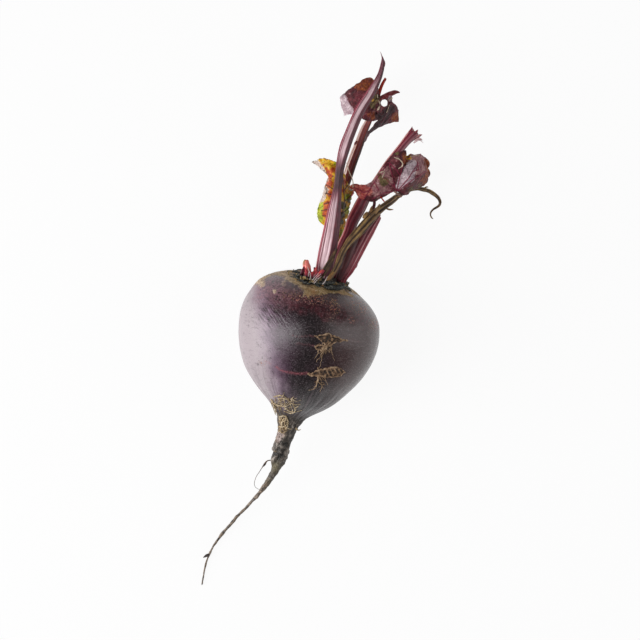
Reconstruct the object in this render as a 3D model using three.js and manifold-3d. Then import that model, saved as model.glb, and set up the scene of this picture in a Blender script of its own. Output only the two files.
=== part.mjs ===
// A beetroot as lifted from the ground, lying on its side on a small flat spot of its bulb.
// A swollen root with a long tail carries a cap of dead leaf bases, five stalks that are torn
// or withered, what is left of three crumpled leaves, three young shoots and some side roots.
//
// Millimetres. The origin is the centre of the flat spot that it rests on, +Z is up, the tail
// points to -Y and the stalks to +Y.
import * as THREE from "three";
import { mergeVertices } from "three/addons/utils/BufferGeometryUtils.js";
import Module from "manifold-3d";

const wasm = await Module();
wasm.setup();

// Driving dimensions
const BULB_RADIUS = 37; // half of the bulb's greatest width
const AXIS_HEIGHT = 35.1; // from the surface that it rests on up to the bulb's axis
const CROWN_TO_REST = 28; // along the axis, from the crown's rim to above the flat spot
const LEAN = THREE.MathUtils.degToRad(15); // the crown leans from +Y to +X
const PITCH = THREE.MathUtils.degToRad(7); // the crown is carried higher than the neck
const CAP_RADIUS = 17; // of the cap of dead leaf bases over the crown
const LEAF_THICKNESS = 1.1; // of a crumpled blade, its small folds included
const ROOTLET_RADIUS = 0.5;
const GAP = 0.3; // left between two pieces that touch

const FINISHES = {
  skin: { color: 0x4a2f3c, roughness: 0.5 },
  stalk: { color: 0x8c4a60, roughness: 0.4 },
  leaf: { color: 0x5a2a2e, roughness: 0.5 },
  yellowLeaf: { color: 0xa8801e, roughness: 0.6 },
  withered: { color: 0x7a6238, roughness: 0.8 },
  deadBase: { color: 0x26241f, roughness: 0.8 },
  shoot: { color: 0xb04a4c, roughness: 0.4 },
  rootlet: { color: 0xa08252, roughness: 0.8 },
};

const vector = ([x, y, z]) => new THREE.Vector3(x, y, z);

// The crown's own frame: x to the side, y out along the bulb's axis, z up over the crown
const outward = new THREE.Vector3(
  Math.sin(LEAN) * Math.cos(PITCH),
  Math.cos(LEAN) * Math.cos(PITCH),
  Math.sin(PITCH),
);
const sideways = new THREE.Vector3(Math.cos(LEAN), -Math.sin(LEAN), 0);
const crownCentre = new THREE.Vector3(0, 0, AXIS_HEIGHT).addScaledVector(
  outward,
  CROWN_TO_REST,
);
const crownFrame = new THREE.Matrix4()
  .makeBasis(sideways, outward, sideways.clone().cross(outward))
  .setPosition(crownCentre);

// Solids, and how they are joined and cut

function solidOf(geometry) {
  const bare = geometry.clone();
  bare.deleteAttribute("normal");
  bare.deleteAttribute("uv");
  const merged = mergeVertices(bare, 1e-3);
  const vertProperties = new Float32Array(merged.attributes.position.array);
  const triVerts = new Uint32Array(merged.index.array);
  return new wasm.Manifold(
    new wasm.Mesh({ numProp: 3, vertProperties, triVerts }),
  );
}

function geometryOf(solid) {
  const mesh = solid.getMesh();
  const geometry = new THREE.BufferGeometry();
  const positions = new THREE.BufferAttribute(mesh.vertProperties, 3);
  geometry.setAttribute("position", positions);
  geometry.setIndex(new THREE.BufferAttribute(mesh.triVerts, 1));
  return geometry;
}

const joined = (...pieces) =>
  geometryOf(pieces.map(solidOf).reduce((sum, next) => sum.add(next)));

const cut = (piece, tools) =>
  geometryOf(
    tools.reduce((left, tool) => left.subtract(solidOf(tool)), solidOf(piece)),
  );

// A lathe bent along the stations [x, y, z, radius]. Its round section is pressed to `depth` of
// its height, and `section` can shape it further. `drift` moves whole sections to the side, and
// `grow` makes it thicker all over.
function limb(stations, options = {}) {
  const { sides = 10, steps = 14, depth = 1, grow = 0 } = options;
  const { section = () => 1, drift = () => 0 } = options;
  const curve = new THREE.CatmullRomCurve3(stations.map(vector));
  const perStation = 20;
  curve.arcLengthDivisions = (stations.length - 1) * perStation;
  const lengths = curve.getLengths();
  const length = curve.getLength();
  const outline = new THREE.SplineCurve(
    stations.map((s, i) => new THREE.Vector2(s[3], lengths[i * perStation])),
  ).getSpacedPoints(steps);
  const lathe = new THREE.LatheGeometry(
    [
      new THREE.Vector2(0, -grow),
      ...outline.map((p) => new THREE.Vector2(p.x + grow, p.y)),
      new THREE.Vector2(0, length + grow),
    ],
    sides,
  );
  const up = new THREE.Vector3(0, 0, 1);
  const position = lathe.attributes.position;
  for (let i = 0; i < position.count; i++) {
    const along = position.getY(i);
    const share = THREE.MathUtils.clamp(along / length, 0, 1);
    const tangent = curve.getTangentAt(share);
    const side = tangent.clone().cross(up).normalize();
    const over = side.clone().cross(tangent);
    const angle = Math.atan2(position.getZ(i), position.getX(i));
    const swell = section(angle, along);
    const point = curve
      .getPointAt(share)
      .addScaledVector(tangent, along - share * length)
      .addScaledVector(sideways, drift(along))
      .addScaledVector(side, position.getX(i) * swell)
      .addScaledVector(over, position.getZ(i) * swell * depth);
    position.setXYZ(i, ...point.toArray());
  }
  return lathe;
}

// A leaf blade: a sheet with a thickness through rows of points, each row across the blade
function blade(rows, options = {}) {
  const { across = 6, along = 9 } = options;
  const curves = rows.map((row) => new THREE.CatmullRomCurve3(row.map(vector)));
  const surface = (u, v) =>
    new THREE.CatmullRomCurve3(curves.map((c) => c.getPoint(u))).getPoint(v);
  const sheet = new THREE.BoxGeometry(1, 1, 1, across, along, 1);
  const position = sheet.attributes.position;
  const step = 0.01;
  const clamp = (value) => THREE.MathUtils.clamp(value, 0, 1);
  for (let i = 0; i < position.count; i++) {
    const u = position.getX(i) + 0.5;
    const v = position.getY(i) + 0.5;
    const acrossBlade = surface(clamp(u + step), v).sub(
      surface(clamp(u - step), v),
    );
    const alongBlade = surface(u, clamp(v + step)).sub(
      surface(u, clamp(v - step)),
    );
    const normal = acrossBlade.cross(alongBlade).normalize();
    const lift = position.getZ(i) * LEAF_THICKNESS;
    const point = surface(u, v).addScaledVector(normal, lift);
    position.setXYZ(i, ...point.toArray());
  }
  return sheet;
}

// The swollen root and its tail, one grown solid. Its sections drift aside along the axis: to
// the left at the crown, a little to the right at the belly and more at the neck.

const CROWN_DRIFT = -2.1;
const BELLY_DRIFT = 0.5;
const NECK_DRIFT = 2;

// How far along the root the crown turns into the bulb, the bulb bellies and the neck narrows
const pastCrown = (along) => THREE.MathUtils.smoothstep(along, 3, 19);
const pastBelly = (along) => THREE.MathUtils.smoothstep(along, 22, 40);
const pastNeck = (along) => THREE.MathUtils.smoothstep(along, 54, 71);

const rootDrift = (along) =>
  CROWN_DRIFT * (1 - pastCrown(along)) +
  BELLY_DRIFT * pastBelly(along) +
  NECK_DRIFT * pastNeck(along);

const onAxis = (distance, radius) => [
  ...new THREE.Vector3(0, -distance, 0).applyMatrix4(crownFrame).toArray(),
  radius,
];

// The tail's stations say where it lies, so the drift is taken off them
const onTail = (x, y, z, radius) => [
  ...new THREE.Vector3(x, y, z)
    .addScaledVector(sideways, -BELLY_DRIFT - NECK_DRIFT)
    .toArray(),
  radius,
];

const ROOT = [
  onAxis(-2.4, 0.4),
  onAxis(-1.8, 9),
  onAxis(-0.8, 14.6),
  onAxis(1.5, 20.8),
  onAxis(4.5, 26),
  onAxis(8.5, 30.9),
  onAxis(14, 34.4),
  onAxis(24, BULB_RADIUS),
  onAxis(35, 36),
  onAxis(46, 32.3),
  onAxis(56, 26),
  onAxis(63, 19.4),
  onAxis(68, 13),
  onAxis(72.5, 8),
  onAxis(77, 5.8),
  onAxis(84, 4.2),
  onTail(-13.5, -59, 26.5, 4.2),
  onTail(-14.5, -63.5, 25, 3.6),
  onTail(-15.2, -67, 23.5, 4.1),
  onTail(-17, -72.5, 20.5, 2),
  onTail(-19, -76.5, 18, 1.6),
  onTail(-23, -81, 14.5, 1.4),
  onTail(-28.5, -88, 9.8, 0.9),
  onTail(-37.5, -99, 4.5, 0.8),
  onTail(-43, -104.5, 2.8, 0.8),
  onTail(-47, -109, 1.8, 0.9),
  onTail(-53, -120, 1.2, 1.1),
  onTail(-54.5, -126.5, 0.9, 0.7),
  onTail(-56, -135, 0.8, 0.5),
];

// A beet is never quite round: it is a little flat, with a faint third lobe
const FLATNESS = 0.013;
const THIRD_LOBE = 0.01;

function lobes(angle, along) {
  const onBulb = pastCrown(along) * (1 - pastNeck(along));
  const flat = FLATNESS * (Math.cos(2 * angle) - 1);
  return 1 + onBulb * (flat + THIRD_LOBE * Math.sin(3 * angle));
}

const rootLimb = (grow) =>
  limb(ROOT, { sides: 28, steps: 70, section: lobes, drift: rootDrift, grow });

// It is pressed flat by the surface that it rests on
const TABLE = 200;
const table = new THREE.BoxGeometry(TABLE, TABLE, TABLE);
table.translate(0, 0, -TABLE / 2);
const root = cut(rootLimb(0), [table]);
const clearOfRoot = rootLimb(GAP);

// Stalks and shoots, each a limb that stands on the crown

const LIMBS = {
  long_stalk: {
    finish: "stalk",
    depth: 0.72,
    stations: [
      [7.5, 26.5, 43, 3.4],
      [8, 32, 45.5, 3.9],
      [9.5, 38.5, 47.5, 4.5],
      [11, 46, 50, 4.5],
      [12.5, 55, 51, 4],
      [14, 65.5, 52, 3.3],
      [15.5, 75.5, 52.5, 2.2],
      [17, 87, 53, 2.4],
      [19, 95, 53, 2.8],
      [21.5, 102, 52, 2.7],
      [27, 114.5, 50, 2.6],
      [32, 122.5, 48, 2.4],
      [36, 130, 45.5, 1.9],
      [38, 135.5, 43, 1.4],
      [38.5, 140, 41.5, 1],
      [38, 144, 40.5, 0.4],
    ],
  },
  back_stalk: {
    finish: "stalk",
    depth: 0.8,
    stations: [
      [5.5, 26, 33, 3],
      [8.5, 41.5, 31.5, 3],
      [11.5, 54.5, 28.5, 2.8],
      [15.5, 67, 25, 2.6],
      [20, 79.5, 21.5, 2.6],
      [23.5, 90, 18.5, 2.6],
      [26.5, 98, 17, 2.5],
      [29.5, 106.5, 17, 2.2],
      [32, 111.5, 18, 1.8],
      [34, 115.5, 20, 1],
    ],
  },
  middle_stalk: {
    finish: "stalk",
    depth: 0.75,
    stations: [
      [13, 27.5, 35.5, 2.7],
      [15.5, 38.5, 35.5, 2.8],
      [18, 45.5, 35.5, 2.6],
      [21, 51.5, 35, 2.8],
      [23.5, 58.5, 34, 3.2],
      [26.5, 64, 33, 3.5],
      [29.5, 70, 32, 3.2],
      [34, 75.5, 32, 2.6],
      [42, 88, 32.5, 2],
      [46.5, 93.5, 33, 2],
      [50.5, 98.5, 33, 2.2],
      [53.5, 102, 32, 2.6],
      [57, 105, 31, 2.2],
    ],
  },
  right_stalk: {
    finish: "stalk",
    depth: 0.62,
    stations: [
      [16.5, 23.5, 41, 2.5],
      [17.5, 27.5, 42.5, 2.6],
      [19.5, 32, 43.5, 3.9],
      [23, 38.5, 43.5, 4],
      [27, 46, 42.5, 4],
      [31.5, 54, 40.5, 3.7],
      [36, 60.5, 38.5, 2.8],
    ],
  },
  withered_stalk: {
    finish: "withered",
    depth: 0.7,
    sides: 8,
    steps: 32,
    stations: [
      [7, 24, 55.5, 0.8],
      [10, 28.5, 54.5, 1.3],
      [13.5, 35, 54, 1.7],
      [17, 41, 53, 1.7],
      [21.5, 46.5, 51.5, 2],
      [26.5, 52, 49.5, 2.5],
      [31, 57, 47, 2.6],
      [35, 61.5, 43.5, 2.3],
      [40, 65.5, 39, 1.8],
      [44.5, 69, 33, 1.7],
      [47.5, 71.5, 26.5, 1.5],
      [52, 74, 19.5, 1.1],
      [57.5, 75.5, 13.5, 1.1],
      [62.5, 75, 10, 1.2],
      [66.5, 73.5, 7, 1.2],
      [69.5, 70.5, 4.5, 1.2],
      [70, 67.5, 3.2, 1],
      [67, 65.5, 2.4, 0.9],
      [65, 63.5, 1.8, 0.8],
      [65, 61.5, 1.3, 0.6],
      [66.5, 60, 0.9, 0.5],
    ],
  },
  left_shoot: {
    finish: "shoot",
    sides: 8,
    steps: 7,
    stations: [
      [1, 27, 44, 2.4],
      [0, 30.5, 46.5, 2.2],
      [-0.5, 34, 48.5, 2],
      [-0.5, 37, 50, 0.7],
    ],
  },
  middle_shoot: {
    finish: "shoot",
    sides: 8,
    steps: 6,
    stations: [
      [3, 25.5, 49.5, 1.5],
      [3.2, 29.5, 51, 1.5],
      [3.6, 32.5, 52, 1],
      [4, 35, 52.5, 0.4],
    ],
  },
  front_shoot: {
    finish: "shoot",
    sides: 8,
    steps: 5,
    stations: [
      [3.5, 24, 54.5, 1.1],
      [5, 28, 55.5, 1.1],
      [6.5, 31.5, 56, 0.4],
    ],
  },
};

const pieces = new Map([["beet_root", { geometry: root, finish: "skin" }]]);
const clearances = [];

for (const [name, { finish, stations, ...options }] of Object.entries(LIMBS)) {
  const geometry = cut(limb(stations, options), [clearOfRoot, ...clearances]);
  pieces.set(name, { geometry, finish });
  clearances.push(limb(stations, { ...options, grow: GAP }));
}

// Leaves: each is one grown solid of one or more blades, with the ribs that tore from them

const UPPER_LEFT_BLADE = [
  [[19, 114.5, 18], [18.5, 117, 21], [17.5, 121.5, 24], [18.5, 124, 22]],
  [[23.5, 114.5, 24], [23, 118.5, 29], [23, 122.5, 31], [22.5, 127.5, 27]],
  [[29, 112, 25], [28.5, 117, 30], [28.5, 123.5, 33], [31, 133, 28]],
  [[33, 111.5, 22], [33, 116, 28], [33, 122, 32], [35, 130.5, 30]],
  [[37.5, 112.5, 18.5], [40, 116, 21.5], [38, 120, 27], [38, 124, 28]],
];
const UPPER_RIGHT_BLADE = [
  [[25, 91.5, 17.5], [25.5, 91.5, 16.5], [26, 91.5, 15.5]],
  [[28, 99.5, 16.5], [28.7, 99.5, 14.5], [29.5, 99.5, 12.5]],
  [[31, 106, 16.5], [32.5, 106, 14], [34, 106, 11]],
  [[34.5, 111.5, 18.5], [37, 110, 14.5], [39, 109, 8.5]],
  [[39.5, 116, 20], [41.5, 113.5, 13], [43.5, 111, 5]],
  [[44, 121.5, 20], [47, 117.5, 9], [48.5, 112.5, 1.2]],
];
const RIGHT_RIB = [
  [36, 121, 27.5, 0.8],
  [39, 122.5, 26.5, 1.1],
  [43, 125, 25.5, 1.1],
  [47.5, 125.5, 23.5, 0.5],
];
const RED_RIB = [
  [37, 122, 27.5, 0.7],
  [38, 126.5, 26.5, 0.9],
  [40.5, 133, 24.5, 0.7],
];
const LOWER_FOLDS = [
  [[22, 75.5, 31.5], [22.3, 76, 32], [22.5, 76.5, 32]],
  [[25, 73.5, 32], [25, 75.5, 33.5], [25, 77.5, 33]],
  [[27.5, 71, 34.5], [28.5, 74, 36], [29.5, 77, 35.5]],
  [[34, 68, 33], [34, 73, 36.5], [34, 79, 36]],
  [[38.5, 70, 32], [37.5, 76, 37.5], [37.5, 83.5, 36.5]],
  [[45.5, 74, 33], [43.5, 82.5, 36], [41.5, 89, 37]],
];
const LOWER_FLAP = [
  [[43.5, 92, 38.5], [46.5, 93.5, 40], [51, 94.5, 38]],
  [[42, 89.5, 39], [46, 89, 42], [51, 91, 38.5]],
  [[43, 85, 39.5], [45.5, 85, 41], [49.5, 86, 39]],
  [[44, 82, 36.5], [45.3, 81, 36], [47, 81.5, 36.5]],
];
const LOWER_CUP = [
  [[45.5, 73.5, 33.5], [45, 78, 35], [45.5, 81.5, 36]],
  [[48, 72.5, 31], [48.5, 79, 37.5], [49, 85.5, 36.5]],
  [[51, 71.5, 27.5], [53, 79, 39], [51, 92, 34.5]],
  [[55, 74.5, 22], [57.5, 80.5, 34], [55.5, 92.5, 33]],
  [[59.5, 76.5, 14.5], [61.5, 82.5, 24], [59, 93, 25]],
  [[63, 79.5, 6], [63.5, 84, 9], [62.5, 90, 10]],
  [[61.5, 82, 1.8], [62, 86, 1], [61.5, 88.5, 2.5]],
];
const YELLOW_BLADE = [
  [[15.5, 45.5, 32.5], [16, 45.5, 32], [16.5, 45.5, 31.5]],
  [[12.5, 52, 36], [15.5, 52.5, 34], [18.5, 53.5, 30]],
  [[6.5, 58.5, 37], [12.5, 59, 39.5], [20, 59, 28]],
  [[5, 63.5, 36], [12.5, 65.5, 41], [21.5, 66, 26]],
  [[6.5, 72.5, 37], [13, 72.5, 42], [25, 72.5, 23]],
  [[9, 78, 39], [13.5, 78.5, 43], [21.5, 78, 27]],
  [[10, 81.5, 41], [14, 83, 44], [18.5, 82.5, 36]],
  [[2, 88.5, 36], [8, 90, 42], [14.5, 88, 44.5]],
];
const SCRAP = [
  [34.5, 69.5, 32.5, 0.8],
  [34.5, 66, 30.5, 0.9],
  [32.5, 62.5, 28.5, 1.2],
  [30.5, 61, 27.5, 0.6],
];

const rib = (stations) => limb(stations, { sides: 8, steps: 6 });

const LEAVES = {
  upper_leaf: [
    blade(UPPER_LEFT_BLADE),
    blade(UPPER_RIGHT_BLADE, { across: 4 }),
    rib(RIGHT_RIB),
    rib(RED_RIB),
  ],
  lower_leaf: [
    blade(LOWER_FOLDS, { across: 5, along: 12 }),
    blade(LOWER_FLAP, { across: 4, along: 7 }),
    blade(LOWER_CUP, { along: 12 }),
    rib(SCRAP),
  ],
  yellow_leaf: [blade(YELLOW_BLADE, { across: 8, along: 14 })],
};

for (const [name, parts] of Object.entries(LEAVES)) {
  const geometry = cut(joined(...parts), clearances);
  const finish = name === "yellow_leaf" ? "yellowLeaf" : "leaf";
  pieces.set(name, { geometry, finish });
}

// The dead leaf bases make a ragged cap over the crown, with one curled lump. The cap reaches
// down in front over the shoulder, and is narrower on the right.

const CURLED_BASE = [
  [-11, 25, 43, 1.3],
  [-9, 27.5, 45.5, 1.8],
  [-5.5, 29, 48, 1.8],
  [-2, 28, 50.5, 1.2],
];
const CAP_HEIGHT = 3.4; // over the crown's middle, its skin included
const CAP_DEPTH = 4.5; // down into the shoulder, to be cut off by the skin
const FRONT_TURN = 0.5; // radians, the front of the cap is turned to the left
const FRONT_REACH = 0.26; // parts of the radius
const RIGHT_LOSS = 0.12;

function crownCap() {
  const profile = [
    [0, -CAP_DEPTH - 0.5],
    [CAP_RADIUS - 1.5, -CAP_DEPTH],
    [CAP_RADIUS, -1.5],
    [CAP_RADIUS - 1, 0.9],
    [CAP_RADIUS - 4, 2.4],
    [CAP_RADIUS / 2, CAP_HEIGHT - 0.2],
    [0, CAP_HEIGHT],
  ].map(([radius, height]) => new THREE.Vector2(radius, height));
  const cap = new THREE.LatheGeometry(profile, 30);
  const position = cap.attributes.position;
  for (let i = 0; i < position.count; i++) {
    const [x, y, z] = [position.getX(i), position.getY(i), position.getZ(i)];
    const turn = Math.atan2(z, x);
    const rim = (Math.hypot(x, z) / CAP_RADIUS) ** 2;
    const front = FRONT_REACH * Math.max(Math.sin(turn - FRONT_TURN), 0);
    const right = RIGHT_LOSS * Math.max(Math.cos(turn), 0);
    const ragged = 0.04 * Math.sin(5 * turn) + 0.03 * Math.sin(9 * turn + 2);
    const reach = 1 + rim * (front - right + ragged);
    position.setXYZ(i, x * reach, y - 0.5 * rim * Math.sin(7 * turn), z * reach);
  }
  return cap.applyMatrix4(crownFrame);
}

pieces.set("leaf_bases", {
  geometry: cut(joined(crownCap(), limb(CURLED_BASE, { steps: 8 })), [
    clearOfRoot,
    ...clearances,
  ]),
  finish: "deadBase",
});

// Side roots lie on the skin of the bulb, each tuft on a corky scar

const rootMesh = new THREE.Mesh(root, new THREE.MeshBasicMaterial());

function onSkin([x, y], radius) {
  const ray = new THREE.Raycaster(
    new THREE.Vector3(x, y, TABLE),
    new THREE.Vector3(0, 0, -1),
  );
  return [x, y, ray.intersectObject(rootMesh)[0].point.z + radius, radius];
}

const strand = (points, radius = ROOTLET_RADIUS) =>
  limb(
    points.map((point) => onSkin(point, radius)),
    { sides: 5, steps: 2 * points.length },
  );

const TUFTS = {
  upper_side_roots: {
    scar: [[2.5, -3], [7, -2], [12, -0.5], [17, -2.5], [22.5, -4.5]],
    strands: [
      [[12, -1.5], [9.5, -6], [5.5, -9], [4, -13.5]],
      [[12, -1.5], [9.5, -9], [8, -13], [6, -19]],
      [[12, -1.5], [13, -9], [14, -15]],
    ],
  },
  lower_side_roots: {
    scar: [[-4, -21], [3, -22], [9, -20.5], [14, -19], [20, -21]],
    strands: [
      [[7, -21.5], [3, -26], [0.7, -29.5]],
      [[7, -21.5], [6, -27], [5.5, -31]],
      [[7, -21.5], [9.5, -25], [10.5, -28]],
    ],
  },
  neck_rootlets: {
    scar: [[-15.5, -36], [-13, -37], [-9.5, -40.5]],
    strands: [
      [[-13, -37], [-14.5, -41], [-13.5, -46], [-13, -50]],
      [[-13, -37], [-10, -44], [-11, -49]],
    ],
  },
};
const SCAR_RADIUS = 1;

for (const [name, { scar, strands }] of Object.entries(TUFTS)) {
  const tuft = joined(
    strand(scar, SCAR_RADIUS),
    ...strands.map((points) => strand(points)),
  );
  const geometry = cut(tuft, [clearOfRoot]);
  pieces.set(name, { geometry, finish: "rootlet" });
}

const TAIL_ROOTLET = [
  [-16, -69, 22.8, 0.6],
  [-19.5, -68, 22.5, 0.5],
  [-22.5, -69.5, 21, 0.5],
  [-25.5, -73.5, 17, 0.5],
  [-28, -78, 14, 0.5],
  [-28, -82, 12.5, 0.5],
  [-25.5, -83.5, 12.5, 0.5],
];
pieces.set("tail_rootlet", {
  geometry: cut(limb(TAIL_ROOTLET, { sides: 5, steps: 12 }), [clearOfRoot]),
  finish: "rootlet",
});

const beetroot = new THREE.Group();
for (const [name, { geometry, finish }] of pieces) {
  const material = new THREE.MeshStandardMaterial(FINISHES[finish]);
  const mesh = new THREE.Mesh(geometry, material);
  mesh.name = name;
  beetroot.add(mesh);
}

export default beetroot;
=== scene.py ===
import math
import random

import bpy
import numpy as np
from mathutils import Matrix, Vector, noise
from mathutils.bvhtree import BVHTree


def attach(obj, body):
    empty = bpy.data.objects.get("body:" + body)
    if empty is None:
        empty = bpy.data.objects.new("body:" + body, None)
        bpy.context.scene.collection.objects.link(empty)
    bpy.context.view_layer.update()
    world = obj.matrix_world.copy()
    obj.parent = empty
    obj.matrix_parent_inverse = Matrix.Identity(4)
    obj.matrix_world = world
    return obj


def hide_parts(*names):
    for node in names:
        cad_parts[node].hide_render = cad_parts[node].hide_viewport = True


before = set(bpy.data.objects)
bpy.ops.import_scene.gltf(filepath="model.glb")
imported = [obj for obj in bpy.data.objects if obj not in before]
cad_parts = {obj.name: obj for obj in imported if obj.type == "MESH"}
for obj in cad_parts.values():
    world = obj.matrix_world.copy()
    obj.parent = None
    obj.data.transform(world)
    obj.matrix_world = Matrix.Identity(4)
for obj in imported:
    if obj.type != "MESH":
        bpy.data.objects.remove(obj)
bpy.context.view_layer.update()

mm = 0.001


# Shared tools

def selectOnly(*pieces):
    bpy.ops.object.select_all(action='DESELECT')
    for piece in pieces:
        piece.select_set(True)
    bpy.context.view_layer.objects.active = pieces[0]


def applyModifier(piece, kind, **settings):
    selectOnly(piece)
    modifier = piece.modifiers.new(kind.title(), kind)
    for name, value in settings.items():
        setattr(modifier, name, value)
    bpy.ops.object.modifier_apply(modifier=modifier.name)


def subdivide(piece, levels):
    applyModifier(piece, 'SUBSURF', levels=levels, render_levels=levels)


def joinPieces(name, pieces):
    selectOnly(*pieces)
    if len(pieces) > 1:
        bpy.ops.object.join()
    piece = bpy.context.object
    piece.name = name
    return piece


def faceOutward(piece):
    selectOnly(piece)
    bpy.ops.object.mode_set(mode='EDIT')
    bpy.ops.mesh.select_all(action='SELECT')
    bpy.ops.mesh.normals_make_consistent(inside=False)
    bpy.ops.object.mode_set(mode='OBJECT')


def pointsOf(piece):
    points = np.zeros(len(piece.data.vertices) * 3)
    piece.data.vertices.foreach_get("co", points)
    return points.reshape(-1, 3)


def normalsOf(piece):
    normals = np.zeros(len(piece.data.vertices) * 3)
    piece.data.vertices.foreach_get("normal", normals)
    return normals.reshape(-1, 3)


def movePoints(piece, points):
    piece.data.vertices.foreach_set("co", np.asarray(points, float).ravel())
    piece.data.update()


def raisePoints(piece, heights):  # moves each vertex along its normal, by heights in mm
    movePoints(piece, pointsOf(piece) + normalsOf(piece) * (heights * mm)[:, None])


def paint(piece, name, values):  # keeps a number, or a vector, for each vertex
    values = np.asarray(values, float)
    kind, field = ('FLOAT', "value") if values.ndim == 1 else ('FLOAT_VECTOR', "vector")
    layer = piece.data.attributes.new(name, kind, 'POINT')
    layer.data.foreach_set(field, values.ravel())


def painted(piece, name):
    layer = piece.data.attributes[name]
    isVector = layer.data_type == 'FLOAT_VECTOR'
    values = np.zeros(len(layer.data) * (3 if isVector else 1))
    layer.data.foreach_get("vector" if isVector else "value", values)
    return values.reshape(-1, 3) if isVector else values


def rise(values, low, high):  # 0 below low, 1 above high, smooth between them
    share = np.clip((np.asarray(values, float) - low) / (high - low), 0, 1)
    return share * share * (3 - 2 * share)


def hump(values, centre, width):
    return np.exp(-(((np.asarray(values, float) - centre) / width) ** 2))


def lumps(points, size, octaves=3, seed=0):  # smooth noise from about -1 to 1, for points in mm
    offset = Vector((seed * 17.3, seed * 5.1, seed * 9.7))
    return np.array([
        noise.fractal(Vector(point) / size + offset, 1.0, 2.0, octaves) for point in points
    ])


def cubic(share, start, end, leaving, arriving):  # from start to end, with the given slopes there
    return (
        (2 * share**3 - 3 * share**2 + 1) * start + (share**3 - 2 * share**2 + share) * leaving
        + (3 * share**2 - 2 * share**3) * end + (share**3 - share**2) * arriving
    )


# Points at an even spacing along a smooth line. The spacing may be a function of the distance so far.
def smoothThrough(points, spacing):
    points = np.asarray(points, float)
    steps = np.linalg.norm(np.diff(points, axis=0), axis=1)
    at = np.concatenate([[0], np.cumsum(steps)])
    slopes = np.gradient(points, at, axis=0)
    fine = np.linspace(0, at[-1], 40 * len(points))
    cell = np.clip(np.searchsorted(at, fine, side="right") - 1, 0, len(points) - 2)
    gap = steps[cell][:, None]
    share = ((fine - at[cell]) / steps[cell])[:, None]
    curve = cubic(share, points[cell], points[cell + 1], gap * slopes[cell], gap * slopes[cell + 1])
    run = np.concatenate([[0], np.cumsum(np.linalg.norm(np.diff(curve, axis=0), axis=1))])
    chosen = [0.0]
    while chosen[-1] < run[-1]:
        here = spacing(chosen[-1]) if callable(spacing) else spacing
        chosen.append(chosen[-1] + here)
    chosen = np.array(chosen) * run[-1] / chosen[-1]
    return np.stack([np.interp(chosen, run, column) for column in curve.T], axis=1)


def layPath(stations):
    bpy.ops.object.select_all(action='DESELECT')
    bpy.ops.curve.primitive_bezier_curve_add(location=(0, 0, 0))
    path = bpy.context.object
    path.data.dimensions = '3D'
    path.data.twist_mode = 'Z_UP'
    path.data.resolution_u = 24
    spline = path.data.splines[0]
    spline.bezier_points.add(len(stations) - 2)
    for point, station in zip(spline.bezier_points, stations):
        point.co = Vector(station[:3]) * mm
        point.handle_left_type = point.handle_right_type = 'AUTO'
    path.data.update_tag()
    bpy.context.view_layer.update()
    return path


# A round length of root or stalk: rings extruded along Y, scaled, then bent along its stations.
# Its unbent place stays with each vertex, and the same place at one radius, so that a grain can follow it.
def limb(name, stations, sides=16, spacing=2.0, depth=1.0, ribs=None, levels=1, tear=0.0):
    stations = np.asarray(stations, float)
    path = layPath(stations)
    reach = np.linalg.norm(np.diff(stations[:, :3], axis=0), axis=1)
    distances = np.concatenate([[0], np.cumsum(reach)])
    distances *= path.data.splines[0].calc_length() / mm / distances[-1]
    rings = smoothThrough(np.stack([distances, stations[:, 3]], axis=1), spacing)
    shrink = (2 + math.cos(math.tau / sides)) / 3  # what subdividing takes off a ring's radius
    bpy.ops.object.select_all(action='DESELECT')
    bpy.ops.mesh.primitive_circle_add(
        vertices=sides, radius=rings[0][1] * mm / shrink, fill_type='NGON',
        location=(0, rings[0][0] * mm, 0), rotation=(math.pi / 2, 0, 0),
    )
    bpy.ops.object.transform_apply(location=True, rotation=True, scale=True)
    piece = bpy.context.object
    piece.name = name
    bpy.ops.object.mode_set(mode='EDIT')
    bpy.ops.mesh.select_all(action='SELECT')
    for before, ring in zip(rings[:-1], rings[1:]):
        bpy.ops.mesh.extrude_region_move(
            TRANSFORM_OT_translate={"value": (0, (ring[0] - before[0]) * mm, 0)}
        )
        grow = max(ring[1], 0.02) / max(before[1], 0.02)
        bpy.ops.transform.resize(value=(grow, 1, grow), center_override=(0, ring[0] * mm, 0))
    bpy.ops.object.mode_set(mode='OBJECT')
    straight = pointsOf(piece) / mm
    around = np.arctan2(straight[:, 0], straight[:, 2])
    paint(piece, "straight", straight)
    usual = rings[:, 1].mean()
    unrolled = np.stack([usual * np.sin(around), straight[:, 1], usual * np.cos(around)], axis=1)
    paint(piece, "unrolled", unrolled)
    if ribs:
        swell = ribs(around, straight[:, 1])
        straight[:, 0] *= swell
        straight[:, 2] *= swell
    if tear:
        ragged = np.sin(3 * around + 1) + 0.7 * np.sin(7 * around) + 0.5 * np.sin(11 * around + 2)
        nearEnd = rise(straight[:, 1], rings[-1][0] - 3, rings[-1][0])
        straight[:, 1] += tear * ragged * nearEnd * rise(np.hypot(straight[:, 0], straight[:, 2]), 0.2, 0.8)
    straight[:, 0] *= depth
    movePoints(piece, straight * mm)
    applyModifier(piece, 'CURVE', object=path, deform_axis='POS_Y')
    bpy.data.objects.remove(path)
    faceOutward(piece)
    subdivide(piece, levels)
    bpy.ops.object.shade_smooth()
    return piece


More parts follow.
